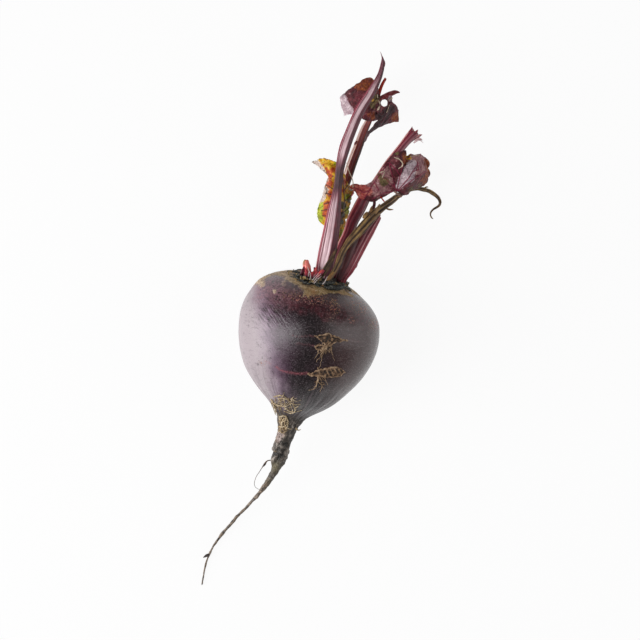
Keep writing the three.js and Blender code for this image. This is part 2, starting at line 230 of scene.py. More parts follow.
def fibres(name, lines, taper=0.75):  # each line is its points and its radius at the root
    bpy.ops.object.select_all(action='DESELECT')
    bpy.ops.curve.primitive_bezier_curve_add(location=(0, 0, 0))
    threads = bpy.context.object
    threads.name = name
    threads.data.splines.clear()
    threads.data.dimensions = '3D'
    threads.data.bevel_depth = mm
    threads.data.bevel_resolution = 1
    threads.data.use_fill_caps = True
    for points, radius in lines:
        spline = threads.data.splines.new('POLY')
        spline.points.add(len(points) - 1)
        for i, (point, place) in enumerate(zip(spline.points, points)):
            point.co = (*(Vector(place) * mm), 1)
            point.radius = radius * (1 - taper * i / (len(points) - 1))
    selectOnly(threads)
    bpy.ops.object.convert(target='MESH')
    bpy.ops.object.shade_smooth()
    return threads


# Materials are written as sums of wires

def colour(code):
    channels = [int(code[i:i + 2], 16) / 255 for i in (1, 3, 5)]
    return [c / 12.92 if c <= 0.04045 else ((c + 0.055) / 1.055) ** 2.4 for c in channels] + [1]


class Wire:
    def __init__(self, shader, socket):
        self.shader = shader
        self.socket = socket

    def maths(self, operation, *values):
        return self.shader.add("ShaderNodeMath", {"operation": operation}, dict(enumerate(values)))

    def __add__(self, other):
        return self.maths('ADD', self, other)

    def __sub__(self, other):
        return self.maths('SUBTRACT', self, other)

    def __rsub__(self, other):
        return self.maths('SUBTRACT', other, self)

    def __mul__(self, other):
        return self.maths('MULTIPLY', self, other)

    __radd__ = __add__
    __rmul__ = __mul__

    def scaled(self, factor):  # a vector made longer
        values = {0: self, "Scale": factor}
        return self.shader.add("ShaderNodeVectorMath", {"operation": 'SCALE'}, values)

    def above(self, low, high):  # 0 below low, 1 above high
        values = {"Value": self, "From Min": low, "From Max": high}
        return self.shader.add("ShaderNodeMapRange", {"interpolation_type": 'SMOOTHSTEP'}, values)


class Shader:
    def __init__(self, name):
        self.material = bpy.data.materials.new(name)
        self.material.use_nodes = True
        self.tree = self.material.node_tree
        self.surface = self.tree.nodes["Principled BSDF"]
        self.place = self.add("ShaderNodeTexCoord", {}, {}, "Object")

    def add(self, kind, settings, values, output=0):
        node = self.tree.nodes.new(kind)
        for name, value in settings.items():
            if name == "stops":
                for i, (position, code) in enumerate(value):
                    stops = node.color_ramp.elements
                    stop = stops[i] if i < 2 else stops.new(position)
                    stop.position = position
                    stop.color = colour(code)
            else:
                setattr(node, name, value)
        for name, value in values.items():
            self.put(node.inputs[name], value)
        return Wire(self, node.outputs[output])

    def put(self, socket, value):
        if isinstance(value, Wire):
            self.tree.links.new(value.socket, socket)
        else:
            socket.default_value = value

    def painted(self, name, output="Fac"):
        return self.add("ShaderNodeAttribute", {"attribute_name": name}, {}, output)

    def paintedPlace(self, name):  # a place in mm that was painted, made metres
        return self.painted(name, "Vector").scaled(mm)

    def noise(self, size, detail=3.0, rough=0.55, at=None, stretch=(1, 1, 1), shift=0.0):
        scale = [s / (size * mm) for s in stretch]
        values = {"Vector": at or self.place, "Scale": scale, "Location": (shift, shift, shift)}
        vector = self.add("ShaderNodeMapping", {}, values)
        values = {"Vector": vector, "Scale": 1.0, "Detail": detail, "Roughness": rough}
        return self.add("ShaderNodeTexNoise", {}, values, "Fac")

    def ramp(self, value, *stops):
        return self.add("ShaderNodeValToRGB", {"stops": stops}, {"Fac": value}, "Color")

    def mix(self, share, one, other):
        one, other = [colour(c) if isinstance(c, str) else c for c in (one, other)]
        return self.add("ShaderNodeMix", {"data_type": 'RGBA'}, {0: share, 6: one, 7: other}, 2)

    def bump(self, height, distance, strength=1.0, over=None):
        values = {"Height": height, "Distance": distance * mm, "Strength": strength}
        if over:
            values["Normal"] = over
        return self.add("ShaderNodeBump", {}, values, "Normal")

    def finish(self, base, rough, normal=None, **fixed):
        self.put(self.surface.inputs["Base Color"], base)
        self.put(self.surface.inputs["Roughness"], rough)
        if normal:
            self.put(self.surface.inputs["Normal"], normal)
        for name, value in fixed.items():
            self.surface.inputs[name].default_value = value
        return self.material


def dress(piece, material, slot, *nodes):
    piece.data.materials.clear()
    piece.data.materials.append(material)
    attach(piece, "root")
    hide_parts(*nodes)


# The camera looks straight down on it

camera = {"place": (6.24, 6.24, 1537.0), "lens": 162.26, "sensor": 36.0}  # mm
farthest = 20  # metres

bpy.ops.object.select_all(action='DESELECT')
bpy.ops.object.camera_add(location=Vector(camera["place"]) * mm, rotation=(0, 0, 0))
eye = bpy.context.object
eye.name = "eye"
eye.data.lens = camera["lens"]
eye.data.sensor_width = camera["sensor"]
eye.data.clip_end = farthest
bpy.context.scene.camera = eye
bpy.context.scene.view_settings.view_transform = 'Standard'

# A white floor that keeps the shadow, a long soft box on the left and a weaker one on the right

studio = {  # in metres
    "floorSize": 8.0, "floorDrop": 0.0003, "floorWhite": "#f2f2f2", "floorRough": 0.9, "shadowShare": 0.08,
    "world": 0.12,
    "boxes": [  # place, aim, length, height and brightness
        ((-0.9, -0.15, 0.36), (0, -0.15, 0.2), 3.0, 0.64, 5.7),
        ((1.0, -0.05, 0.55), (0, -0.05, 0.2), 1.4, 0.8, 1.6),
    ],
}


def layFloor():
    bpy.ops.object.select_all(action='DESELECT')
    bpy.ops.mesh.primitive_plane_add(size=studio["floorSize"], location=(0, 0, -studio["floorDrop"]))
    floor = bpy.context.object
    floor.name = "floor"
    bpy.ops.object.transform_apply(location=True)
    shader = Shader("whiteFloor")
    shader.finish(colour(studio["floorWhite"]), studio["floorRough"])
    path = shader.add("ShaderNodeLightPath", {}, {}, "Is Camera Ray")
    rays = path.socket.node.outputs
    seen = path.maths('MAXIMUM', path, Wire(shader, rays["Is Glossy Ray"]))
    seen = path.maths('MAXIMUM', seen, Wire(shader, rays["Is Transmission Ray"]))
    white = shader.add("ShaderNodeEmission", {}, {"Color": (1, 1, 1, 1), "Strength": 1.0})
    share = seen * (1 - studio["shadowShare"])
    surface = Wire(shader, shader.surface.outputs[0])
    mixed = shader.add("ShaderNodeMixShader", {}, {0: share, 1: surface, 2: white})
    shader.put(shader.tree.nodes["Material Output"].inputs["Surface"], mixed)
    floor.data.materials.append(shader.material)


def hangLight(place, aim, length, height, brightness):
    bpy.ops.object.select_all(action='DESELECT')
    bpy.ops.object.light_add(type='AREA', location=place)
    box = bpy.context.object
    box.rotation_euler = (Vector(aim) - Vector(place)).to_track_quat('-Z', 'Z').to_euler()
    box.data.shape = 'RECTANGLE'
    box.data.size = length
    box.data.size_y = height
    box.data.energy = brightness * math.pi * length * height
    print("soft box", place, "watts", round(box.data.energy, 1))


layFloor()
for softBox in studio["boxes"]:
    hangLight(*softBox)
world = bpy.context.scene.world or bpy.data.worlds.new("world")
bpy.context.scene.world = world
world.use_nodes = True
world.node_tree.nodes["Background"].inputs["Color"].default_value = (1, 1, 1, 1)
world.node_tree.nodes["Background"].inputs["Strength"].default_value = studio["world"]
print("studio set")


# The swollen root with its tail

root = {
    "lean": math.radians(15), "pitch": math.radians(7), "axisHeight": 35.1, "crownToRest": 28.0,
    "profile": [  # distance below the crown and radius, mm
        (-2.4, 0.4), (-1.8, 9), (-0.8, 14.6), (1.5, 20.8), (4.5, 26), (8.5, 30.9), (14, 34.4),
        (24, 37), (35, 36), (46, 32.3), (56, 26), (63, 19.4), (68, 13), (72.5, 8), (77, 5.8),
        (84, 4.2),
    ],
    "tail": [
        (-13.5, -59, 26.5, 4.2), (-14.5, -63.3, 25, 3.6), (-15.2, -66.4, 23.5, 4.0),
        (-16.5, -70, 21.6, 2.5), (-17.1, -72.6, 20.2, 2.0), (-18.5, -75.3, 18.6, 1.8),
        (-20.4, -78, 16.8, 1.6), (-22.2, -80.8, 14.8, 1.4), (-24.7, -83.6, 12.9, 1.1),
        (-26.6, -86.3, 11.2, 0.8), (-29, -89, 9.4, 0.8), (-31.4, -91.8, 8, 0.72), (-34.2, -94.6, 6.6, 0.7),
        (-37.5, -97.7, 5.4, 0.8), (-41.6, -102.8, 3.6, 0.85), (-44.3, -105.4, 2.9, 0.7),
        (-46.2, -108.1, 2.3, 0.75), (-48.3, -110.8, 1.8, 0.62), (-50.2, -113.5, 1.5, 0.56),
        (-51.7, -116.2, 1.2, 0.56), (-52.9, -118.9, 1.1, 0.6), (-54.1, -121.6, 0.9, 0.56),
        (-54.8, -124.2, 0.8, 0.45), (-55.8, -129.6, 0.6, 0.4), (-56.7, -135, 0.5, 0.38),
    ],
    "nub": [
        (-52.9, -118.6, 1.3, 0.7), (-54.2, -119.2, 1.6, 0.75), (-55.3, -119.8, 1.7, 0.45),
        (-56, -120.3, 1.6, 0.12),
    ],
    "nubForm": {"sides": 10, "spacing": 0.5},
    "sides": 80, "crownDrift": -2.1, "bellyDrift": 0.5, "neckDrift": 2.0, "oval": 0.013,
    "crownZone": (3, 19), "bellyZone": (22, 40), "neckZone": (54, 71),  # from where to where, along it
    "ringGaps": [(0, 3.2), (100, 3.0), (112, 2.2), (135, 2.4), (150, 4.6)],  # distance along it, gap
}
lean, pitch = root["lean"], root["pitch"]
outward = Vector((math.sin(lean) * math.cos(pitch), math.cos(lean) * math.cos(pitch), math.sin(pitch)))
sideways = Vector((math.cos(lean), -math.sin(lean), 0))
crownCentre = Vector((0, 0, root["axisHeight"])) + outward * root["crownToRest"]


def rootStations():
    tailShift = sideways * (root["bellyDrift"] + root["neckDrift"])
    stations = [(*(crownCentre - outward * distance), radius) for distance, radius in root["profile"]]
    for x, y, z, radius in root["tail"]:
        stations.append((*(Vector((x, y, z)) - tailShift), radius))
    return stations


def rootSpacing(run):  # rings stand closer below the neck than on the bulb, and wide on the tail
    return float(np.interp(run, *np.array(root["ringGaps"]).T))


def lobes(around, along):
    onBulb = rise(along, *root["crownZone"]) * (1 - rise(along, *root["neckZone"]))
    return 1 + onBulb * (root["oval"] * (np.cos(2 * around) - 1))


def makeRoot():
    piece = limb(
        "beetRoot", rootStations(), sides=root["sides"], spacing=rootSpacing, ribs=lobes, levels=2,
    )
    straight = painted(piece, "straight")
    along = straight[:, 1]
    drift = (
        root["crownDrift"] * (1 - rise(along, *root["crownZone"]))
        + root["bellyDrift"] * rise(along, *root["bellyZone"])
        + root["neckDrift"] * rise(along, *root["neckZone"])
    )
    points = pointsOf(piece) / mm + drift[:, None] * np.array(sideways)
    movePoints(piece, points * mm)
    return piece


# What marks the skin. Spots are (x, y, radius, amount) and bands are (line over x and y, width, amount).
marks = {
    "corkBands": [
        ([(-28, 25.5), (-24, 28.4), (-17, 30.4), (-10, 29.6)], 1.5, 0.75),
        ([(-11, 28), (-6, 25.6), (-2, 23)], 1.4, 0.7),
        ([(5, 20.4), (12, 20.6), (17, 21), (23, 18.4)], 0.9, 0.8),
        ([(21, 21.4), (26, 20), (30.4, 16.6)], 0.8, 0.75),
        ([(-1.5, 19.6), (-3, 17.8), (-4.2, 17.4)], 0.5, 0.6), ([(0, 19), (0.6, 16.8)], 0.5, 0.6),
    ],
    "cork": [
        (-23.7, 24.8, 2.6, 0.8), (-17.0, 21.0, 1.3, 0.9), (-12.5, 25, 2.4, 0.5), (-7.5, 22.5, 2.2, 0.35),
        (0.3, 20.8, 3.0, 0.85), (4.2, 21.3, 2.8, 0.8), (8, 20.6, 2.2, 0.6),
        (-13.6, -46.5, 2.6, 0.7), (-14.4, -53.4, 2.8, 1.0), (-15.8, -56.6, 1.8, 0.7), (-12.6, -50, 2.2, 0.7),
        (-17, -62.4, 1.2, 0.6), (-14, -60.6, 1.0, 0.5),
    ],
    "shoulder": [
        (-20, 22, 5, 0.8), (-15, 25, 4, 0.8), (-14, 17, 6, 0.6), (-7, 20, 5, 0.4), (-25, 18, 4, 0.6),
        (-18, 29, 4, 0.8), (-26, 25, 4, 0.8), (-10, 28.6, 3.4, 0.6),
    ],
    "rosy": [
        (-14.4, -53.6, 2.6, 1.3), (-13, -48, 1.5, 0.5), (-12.5, -39.5, 2.0, 0.5), (-15.4, -57, 1.8, 0.9),
    ],
    "olive": [(-17.2, -71, 3.0, 0.9), (-14, -43.5, 1.5, 0.5), (-21, -79, 2.5, 0.4)],
    "specks": [
        (14, 12.4, 1.9, 1.0), (13.2, 15.6, 1.5, 0.7), (22.6, 6, 1.8, 0.8), (3.7, 17.0, 2.2, 1.0),
        (27.3, 12, 2.4, 0.9), (35, 4, 3.2, 0.9), (-12, 19, 3.0, 0.4), (-6, 18.2, 3.0, 0.5), (12, 8, 5, 0.25),
        (0, 18, 4, 0.4), (8, 17, 4, 0.3), (22, 16, 5, 0.3), (30, 14, 4, 0.3),
        (-22.6, -16, 1.4, 0.5), (-24.5, -16, 1.2, 0.5),
    ],
    "scratchedAcross": (-18, 11), "scratchedAlong": (10, 9),  # middle and width, over x and over y
    # these spots paint a violet tint where the edge of the left lamp's highlight falls: a painted sheen
    "sheenViolet": [(-12, 2, 7, 0.6), (-12, -10, 6, 0.5), (-14, -20, 5, 0.4)],
    "shade": [(-14, -36.5, 3.4, 0.6), (-8.5, -38.5, 3.6, 0.7), (-4, -38.5, 3, 0.5), (-17.6, -38.6, 2, 0.7)],
    # pits are sunk and painted dark: painted shade in each small hollow
    "pits": [(-25.7, -16.7, 0.5, 1.0), (-26.2, -5.6, 0.4, 0.7), (-30.5, 3.4, 0.4, 0.6), (-9, 0.5, 0.35, 0.5)],
    "bumps": [
        (-17.9, -61.2, 1.5, 0.9), (-17.6, -63.8, 0.9, -1.0), (-18.4, -66.4, 1.8, 0.9),
        (-10.9, -66, 2.0, 0.8), (-10.8, -62.2, 1.3, 0.4), (-14.2, -64.5, 1.2, -0.6),
        (-14.8, -60, 1.3, 0.5), (-13.2, -57.2, 1.0, -0.5), (-7.8, -49.6, 0.8, 0.6), (-9.6, -54, 1.2, 0.3),
        (-14.6, -53.4, 2.0, 0.5), (-14.2, -46.5, 1.6, 0.4), (-38.8, -98, 0.9, 0.5),
        (-41, -104.4, 0.8, 0.4), (-47.4, -107.8, 0.8, 0.4), (-48.6, -112.8, 0.8, 0.4),
        (-32.8, -92.8, 0.8, 0.35), (-27, -87.4, 0.8, 0.4), (-23.6, -81.4, 0.9, 0.4),
    ],
    "lines": [
        ([(-16.2, -17.6), (-13, -19.8), (-8.3, -20.8), (-4.2, -21.3), (0, -20.9)], 0.5, 1.0),
        ([(-8, -1.6), (-4, -2.3), (0, -1.7), (3, -2)], 0.35, 0.35),
        ([(-6, -5.6), (0, -6.4), (3, -6.8)], 0.35, 0.35),
        ([(19, -3.8), (23, -4.4), (26, -4.8)], 0.35, 0.3), ([(-22, -14.6), (-19, -16.2)], 0.5, 0.4),
    ],
    "creases": [
        ([(-33, 2), (-29, 0.4), (-25, 0.8)], 0.35, 1.0), ([(-32, 8), (-28, 9.6), (-26, 10.2)], 0.35, 1.0),
        ([(-28, -4), (-25, -4.4), (-21, -4)], 0.35, 0.7), ([(18, 4), (26, 5), (34, 3.5)], 0.4, 0.8),
        ([(20, 0.5), (28, 1), (34.5, -0.5)], 0.4, 0.8), ([(10, 8.5), (18, 9), (27, 8)], 0.4, 0.6),
    ],
}


def dressedWith(part, **values):  # the same amount all over a small part
    for name, value in values.items():
        paint(part, name, np.full(len(part.data.vertices), value))
    return part


def blots(points, spots):
    total = np.zeros(len(points))
    for x, y, radius, amount in spots:
        total += amount * np.exp(-(((points[:, 0] - x) ** 2 + (points[:, 1] - y) ** 2) / radius**2))
    return total


def nearLine(points, line, width):  # 1 on a line drawn over x and y, fading over its width
    best = np.full(len(points), 1e9)
    for start, end in zip(line[:-1], line[1:]):
        start, end = np.array(start[:2], float), np.array(end[:2], float)
        step = end - start
        share = np.clip(((points[:, :2] - start) @ step) / (step @ step), 0, 1)
        best = np.minimum(best, np.linalg.norm(points[:, :2] - start - share[:, None] * step, axis=1))
    return np.exp(-((best / width) ** 2))


def nearBands(points, bands):
    return np.max([amount * nearLine(points, line, width) for line, width, amount in bands], axis=0)


skinForm = {
    # from where to where along the root, below its crown
    "rimEnd": (-0.5, 3.4), "bulbEnd": (66, 76), "neck": (67, 76), "foldsStart": (42, 64),
    "foldsEnd": (76, 84), "knots": (100, 108), "thin": (106, 120), "calmTail": (104, 120),
    # middle and width of a band along it
    "maroonBand": (9.5, 6.5), "barkBand": (92, 12),
    # from where to where across it, and up its side
    "maroonSide": (-32, -6), "bloomAndLitReach": (3, 33), "warmSide": (2, 22), "upperSide": (-0.3, 0.1),
    # heights and depths in mm
    "swell": 0.13, "dimple": 0.05, "cork": 0.2, "grain": 0.3, "bark": 0.95, "folds": 0.13, "line": 0.12,
    "crease": 0.16, "pit": 0.5, "knot": 0.3, "rosy": 0.6,
}


# How high the skin stands, and where it is corky or maroon; the dusty bloom is partly painted light, paler on
# the lamp-lit left side
def carveRoot(piece):
    points = pointsOf(piece) / mm
    x, y = points[:, 0], points[:, 1]
    straight = painted(piece, "straight")
    along = straight[:, 1] + root["profile"][0][0]
    upperSide = rise(normalsOf(piece)[:, 2], *skinForm["upperSide"])
    patchy = lumps(points, 7, 4, 1)
    fine = lumps(points, 2.2, 3, 2)
    onBulb = 1 - rise(along, *skinForm["bulbEnd"])
    rim = 1 - rise(along + 2.6 * patchy, *skinForm["rimEnd"])
    drawn = blots(points, marks["cork"]) + nearBands(points, marks["corkBands"])
    cork = np.clip(0.8 * rim + drawn * upperSide, 0, 1)
    maroon = hump(along + 3 * patchy, *skinForm["maroonBand"]) * rise(x, *skinForm["maroonSide"])
    lines = nearBands(points, marks["lines"]) * upperSide
    creases = nearBands(points, marks["creases"]) * upperSide
    pits = blots(points, marks["pits"]) * upperSide
    neck = rise(along, *skinForm["neck"])
    streaks = lumps(straight * [1.6, 0.16, 1.6], 2.4, 3, 3)
    bark = hump(along, *skinForm["barkBand"]) * lumps(points, 2.6, 3, 9)
    around = np.arctan2(straight[:, 0], straight[:, 2])
    folding = rise(along, *skinForm["foldsStart"]) * (1 - rise(along, *skinForm["foldsEnd"]))
    bend = 1.5 * lumps(points, 16, 2, 4)
    folds = (np.cos(17 * around + bend) + 0.6 * np.cos(37 * around + 2 * bend)) * folding
    rosy = np.clip(blots(points, marks["rosy"]) * upperSide, 0, 1)
    knots = rise(along, *skinForm["knots"]) * (lumps(points, 4.0, 2, 10) + 0.5 * lumps(points, 1.6, 2, 12))
    grain = neck * streaks * (1 - 0.5 * rise(along, *skinForm["calmTail"]))
    height = (
        skinForm["swell"] * lumps(points, 20, 2, 5) * onBulb
        + skinForm["dimple"] * lumps(points, 4, 2, 6) * onBulb
        + skinForm["cork"] * cork * fine + skinForm["grain"] * grain + skinForm["bark"] * bark
        + skinForm["folds"] * folds + skinForm["line"] * lines - skinForm["crease"] * creases
        - skinForm["pit"] * pits + skinForm["knot"] * knots
        + skinForm["rosy"] * rosy * lumps(points, 1.4, 3, 13)
        + blots(points, marks["bumps"]) * upperSide
    )
    points += normalsOf(piece) * height[:, None]
    points[:, 2] = np.maximum(points[:, 2], 0)
    movePoints(piece, points * mm)
    paint(piece, "cork", cork)
    paint(piece, "maroon", maroon)
    paint(piece, "tail", neck)
    # the left flank is painted paler: partly a dusty bloom, partly painted light from the left lamp
    paint(piece, "bloomAndLitSide", rise(-x - 0.2 * y + 2 * patchy, *skinForm["bloomAndLitReach"]) * onBulb)
    paint(piece, "scratched", hump(x, *marks["scratchedAcross"]) * hump(y, *marks["scratchedAlong"]))
    paint(piece, "warm", rise(x, *skinForm["warmSide"]) * onBulb)
    paint(piece, "drawn", folding)
    paint(piece, "thin", rise(along, *skinForm["thin"]))
    # painted sheen: a violet tint where the edge of the lamp's highlight falls
    paint(piece, "sheenViolet", np.clip(blots(points, marks["sheenViolet"]) * upperSide, 0, 1))
    paint(piece, "shade", np.clip(blots(points, marks["shade"]) * upperSide, 0, 1))
    paint(piece, "shoulder", np.clip(blots(points, marks["shoulder"]), 0, 1))
    paint(piece, "line", lines)
    paint(piece, "pit", np.clip(pits, 0, 1))
    paint(piece, "specks", np.clip(blots(points, marks["specks"]) * upperSide, 0, 1))
    paint(piece, "rosy", rosy)
    paint(piece, "olive", np.clip(blots(points, marks["olive"]), 0, 1))
    paint(piece, "height", height)


def skinMaterial():
    shader = Shader("beetSkin")
    cork, tail = shader.painted("cork"), shader.painted("tail")
    bloomAndLitSide, height = shader.painted("bloomAndLitSide"), shader.painted("height")
    straight = shader.paintedPlace("straight")
    cloud = shader.noise(10, 3)
    fleck = shader.noise(0.8, 3, 0.65)
    pores = shader.noise(1.4, 1, 0.3, shift=5.0)
    mottle = shader.noise(1.6, 4, 0.6)
    turned = shader.add("ShaderNodeVectorRotate", {"rotation_type": 'Z_AXIS'}, {
        "Vector": shader.place, "Angle": math.radians(54)})
    scratches = shader.noise(0.9, 2, 0.5, turned, (0.13, 1.0, 0.3))
    rings = shader.noise(1.3, 4, 0.65, stretch=(0.25, 1.0, 0.25), shift=2.0)
    scratched = (scratches - 0.5) * (shader.painted("scratched") * 2.0 + 0.25)
    grit = shader.noise(0.5, 2, 0.5, shift=7.0)
    dark = shader.ramp(cloud, (0.3, "#151012"), (0.5, "#1f1719"), (0.75, "#2c1e24"))
    dark = shader.mix(shader.painted("warm"), dark, "#442e2e")
    maroon = shader.ramp(mottle, (0.35, "#2c1016"), (0.55, "#431a20"), (0.75, "#66303a"))
    skin = shader.mix((shader.painted("maroon") * 1.1 + (cloud - 0.5) * 0.8).above(0.25, 0.95), dark, maroon)
    # lavender-grey bloom that is also a painted sheen, paler on the lit left side
    bloomAndLitColour = shader.ramp(bloomAndLitSide, (0.05, "#44263c"), (0.3, "#66465f"), (0.6, "#887183"), (0.9, "#a2959a"))
    share = bloomAndLitSide * 1.2 + (fleck - 0.5) * 0.35 + scratched * 1.1
    skin = shader.mix(share.above(0.12, 1.1), skin, bloomAndLitColour)
    # painted sheen: violet where the edge of the lamp's highlight falls
    skin = shader.mix(shader.painted("sheenViolet") * 0.6, skin, "#54304a")
    unrolled = shader.paintedPlace("unrolled")
    streaks = shader.noise(0.75, 3, 0.6, unrolled, (1, 0.05, 1))
    drawn = shader.painted("drawn")
    skin = shader.mix(drawn * streaks.above(0.5, 0.64) * 0.32, skin, "#8e8286")
    skin = shader.mix(shader.painted("shade") * 0.85, skin, "#3a3228")
    skin = shader.mix(drawn * (1 - streaks).above(0.5, 0.64) * 0.45, skin, "#1e1618")
    skin = shader.mix(rings.above(0.56, 0.64) * shader.painted("warm") * 0.28, skin, "#7a6c68")
    skin = shader.mix((1 - rings).above(0.56, 0.64) * 0.25, skin, "#140e10")
    skin = shader.mix(shader.painted("shoulder") * mottle.above(0.3, 0.6) * 0.75, skin, "#8a626c")
    skin = shader.mix(fleck.above(0.56, 0.68) * (0.26 - bloomAndLitSide * 0.08), skin, "#8c7c84")
    skin = shader.mix(grit.above(0.54, 0.66) * 0.13, skin, "#a4989c")
    skin = shader.mix((1 - grit).above(0.54, 0.66) * (0.42 - bloomAndLitSide * 0.26), skin, "#100b0d")
    skin = shader.mix(pores.above(0.7, 0.76) * 0.6, skin, "#120c0e")
    skin = shader.mix(shader.painted("line") * fleck.above(0.4, 0.55) * 0.9, skin, "#8e4e56")
    # painted shade in the sunk pits
    skin = shader.mix(shader.painted("pit"), skin, "#1c1410")
    ochre = shader.mix(cloud.above(0.4, 0.6), "#b87c70", "#a8884c")
    ochre = shader.mix(shader.painted("maroon") * grit.above(0.48, 0.54) * 0.8, ochre, "#c25650")
    speck = shader.painted("specks").above(0.1, 0.5) * fleck.above(0.52, 0.6)
    skin = shader.mix(speck * 0.85, skin, ochre)
    bark = shader.ramp(
        mottle * 0.6 + fleck * 0.4, (0.3, "#5a4630"), (0.43, "#917446"), (0.54, "#b5986c"), (0.68, "#d8c2a4"))
    rust = shader.noise(5, 2, 0.5, shift=4.0).above(0.5, 0.66)
    bark = shader.mix(rust * (1 - tail) * 0.4, bark, "#b47a48")
    palerBark = shader.mix(fleck.above(0.4, 0.6), "#b89c80", "#e4d2b8")
    bark = shader.mix(shader.painted("shoulder") * 0.85, bark, palerBark)
    rosyBark = shader.ramp(
        mottle * 0.5 + fleck * 0.5, (0.34, "#453833"), (0.46, "#94807a"), (0.58, "#ccbcb6"))
    bark = shader.mix(shader.painted("rosy"), bark, rosyBark)
    edge = (cork + (mottle - 0.5) * 1.0 + (cloud - 0.5) * 0.5).above(0.3, 0.8)
    base = shader.mix(edge * 0.9, skin, bark)
    fibre = shader.noise(1.0, 4, 0.6, straight, (1.2, 0.12, 1.2))
    # height paints shade on the tail: its valleys darker and its ridges lighter
    tailTone = fibre * 0.35 + mottle * 0.25 + fleck * 0.3 + height * 0.2 + shader.painted("thin") * 0.06
    tailColour = shader.ramp(
        tailTone, (0.3, "#100e0b"), (0.42, "#332d27"), (0.52, "#5a5149"), (0.62, "#918880"),
        (0.76, "#c4b6a4"))
    tailColour = shader.mix(shader.painted("olive") * 0.6, tailColour, "#7c7250")
    tailColour = shader.mix(shader.painted("thin") * mottle.above(0.4, 0.55) * 0.55, tailColour, "#927c66")
    base = shader.mix(tail * (1 - edge * 0.85) * 0.94, base, tailColour)
    rough = 0.25 + edge * 0.4 + tail * 0.3 + bloomAndLitSide * 0.13 + (fleck - 0.5) * 0.14
    relief = shader.bump(fleck + grit * 0.5 + scratched * 1.4 + rings * 0.5 + streaks * drawn, 0.18, 0.7)
    relief = shader.bump(mottle * (edge + tail * 0.8 + speck), 0.5, 0.9, relief)
    return shader.finish(base, rough, relief, IOR=1.5)


beetRoot = makeRoot()
carveRoot(beetRoot)
nub = limb("nub", root["nub"], **root["nubForm"])
dressedWith(nub, tail=0.8, height=0.1, maroon=0.8)
beetRoot = joinPieces("beetRoot", [beetRoot, nub])
print("root", len(beetRoot.data.vertices), "points")
dress(beetRoot, skinMaterial(), "skin", "beet_root")
skinTree = BVHTree.FromObject(beetRoot, bpy.context.evaluated_depsgraph_get())


def onSkin(x, y, lift=0.0):
    hit = skinTree.ray_cast(Vector((x * mm, y * mm, 0.2)), Vector((0, 0, -1)))[0]
    return (x, y, (hit.z / mm if hit else 1.0) + lift)
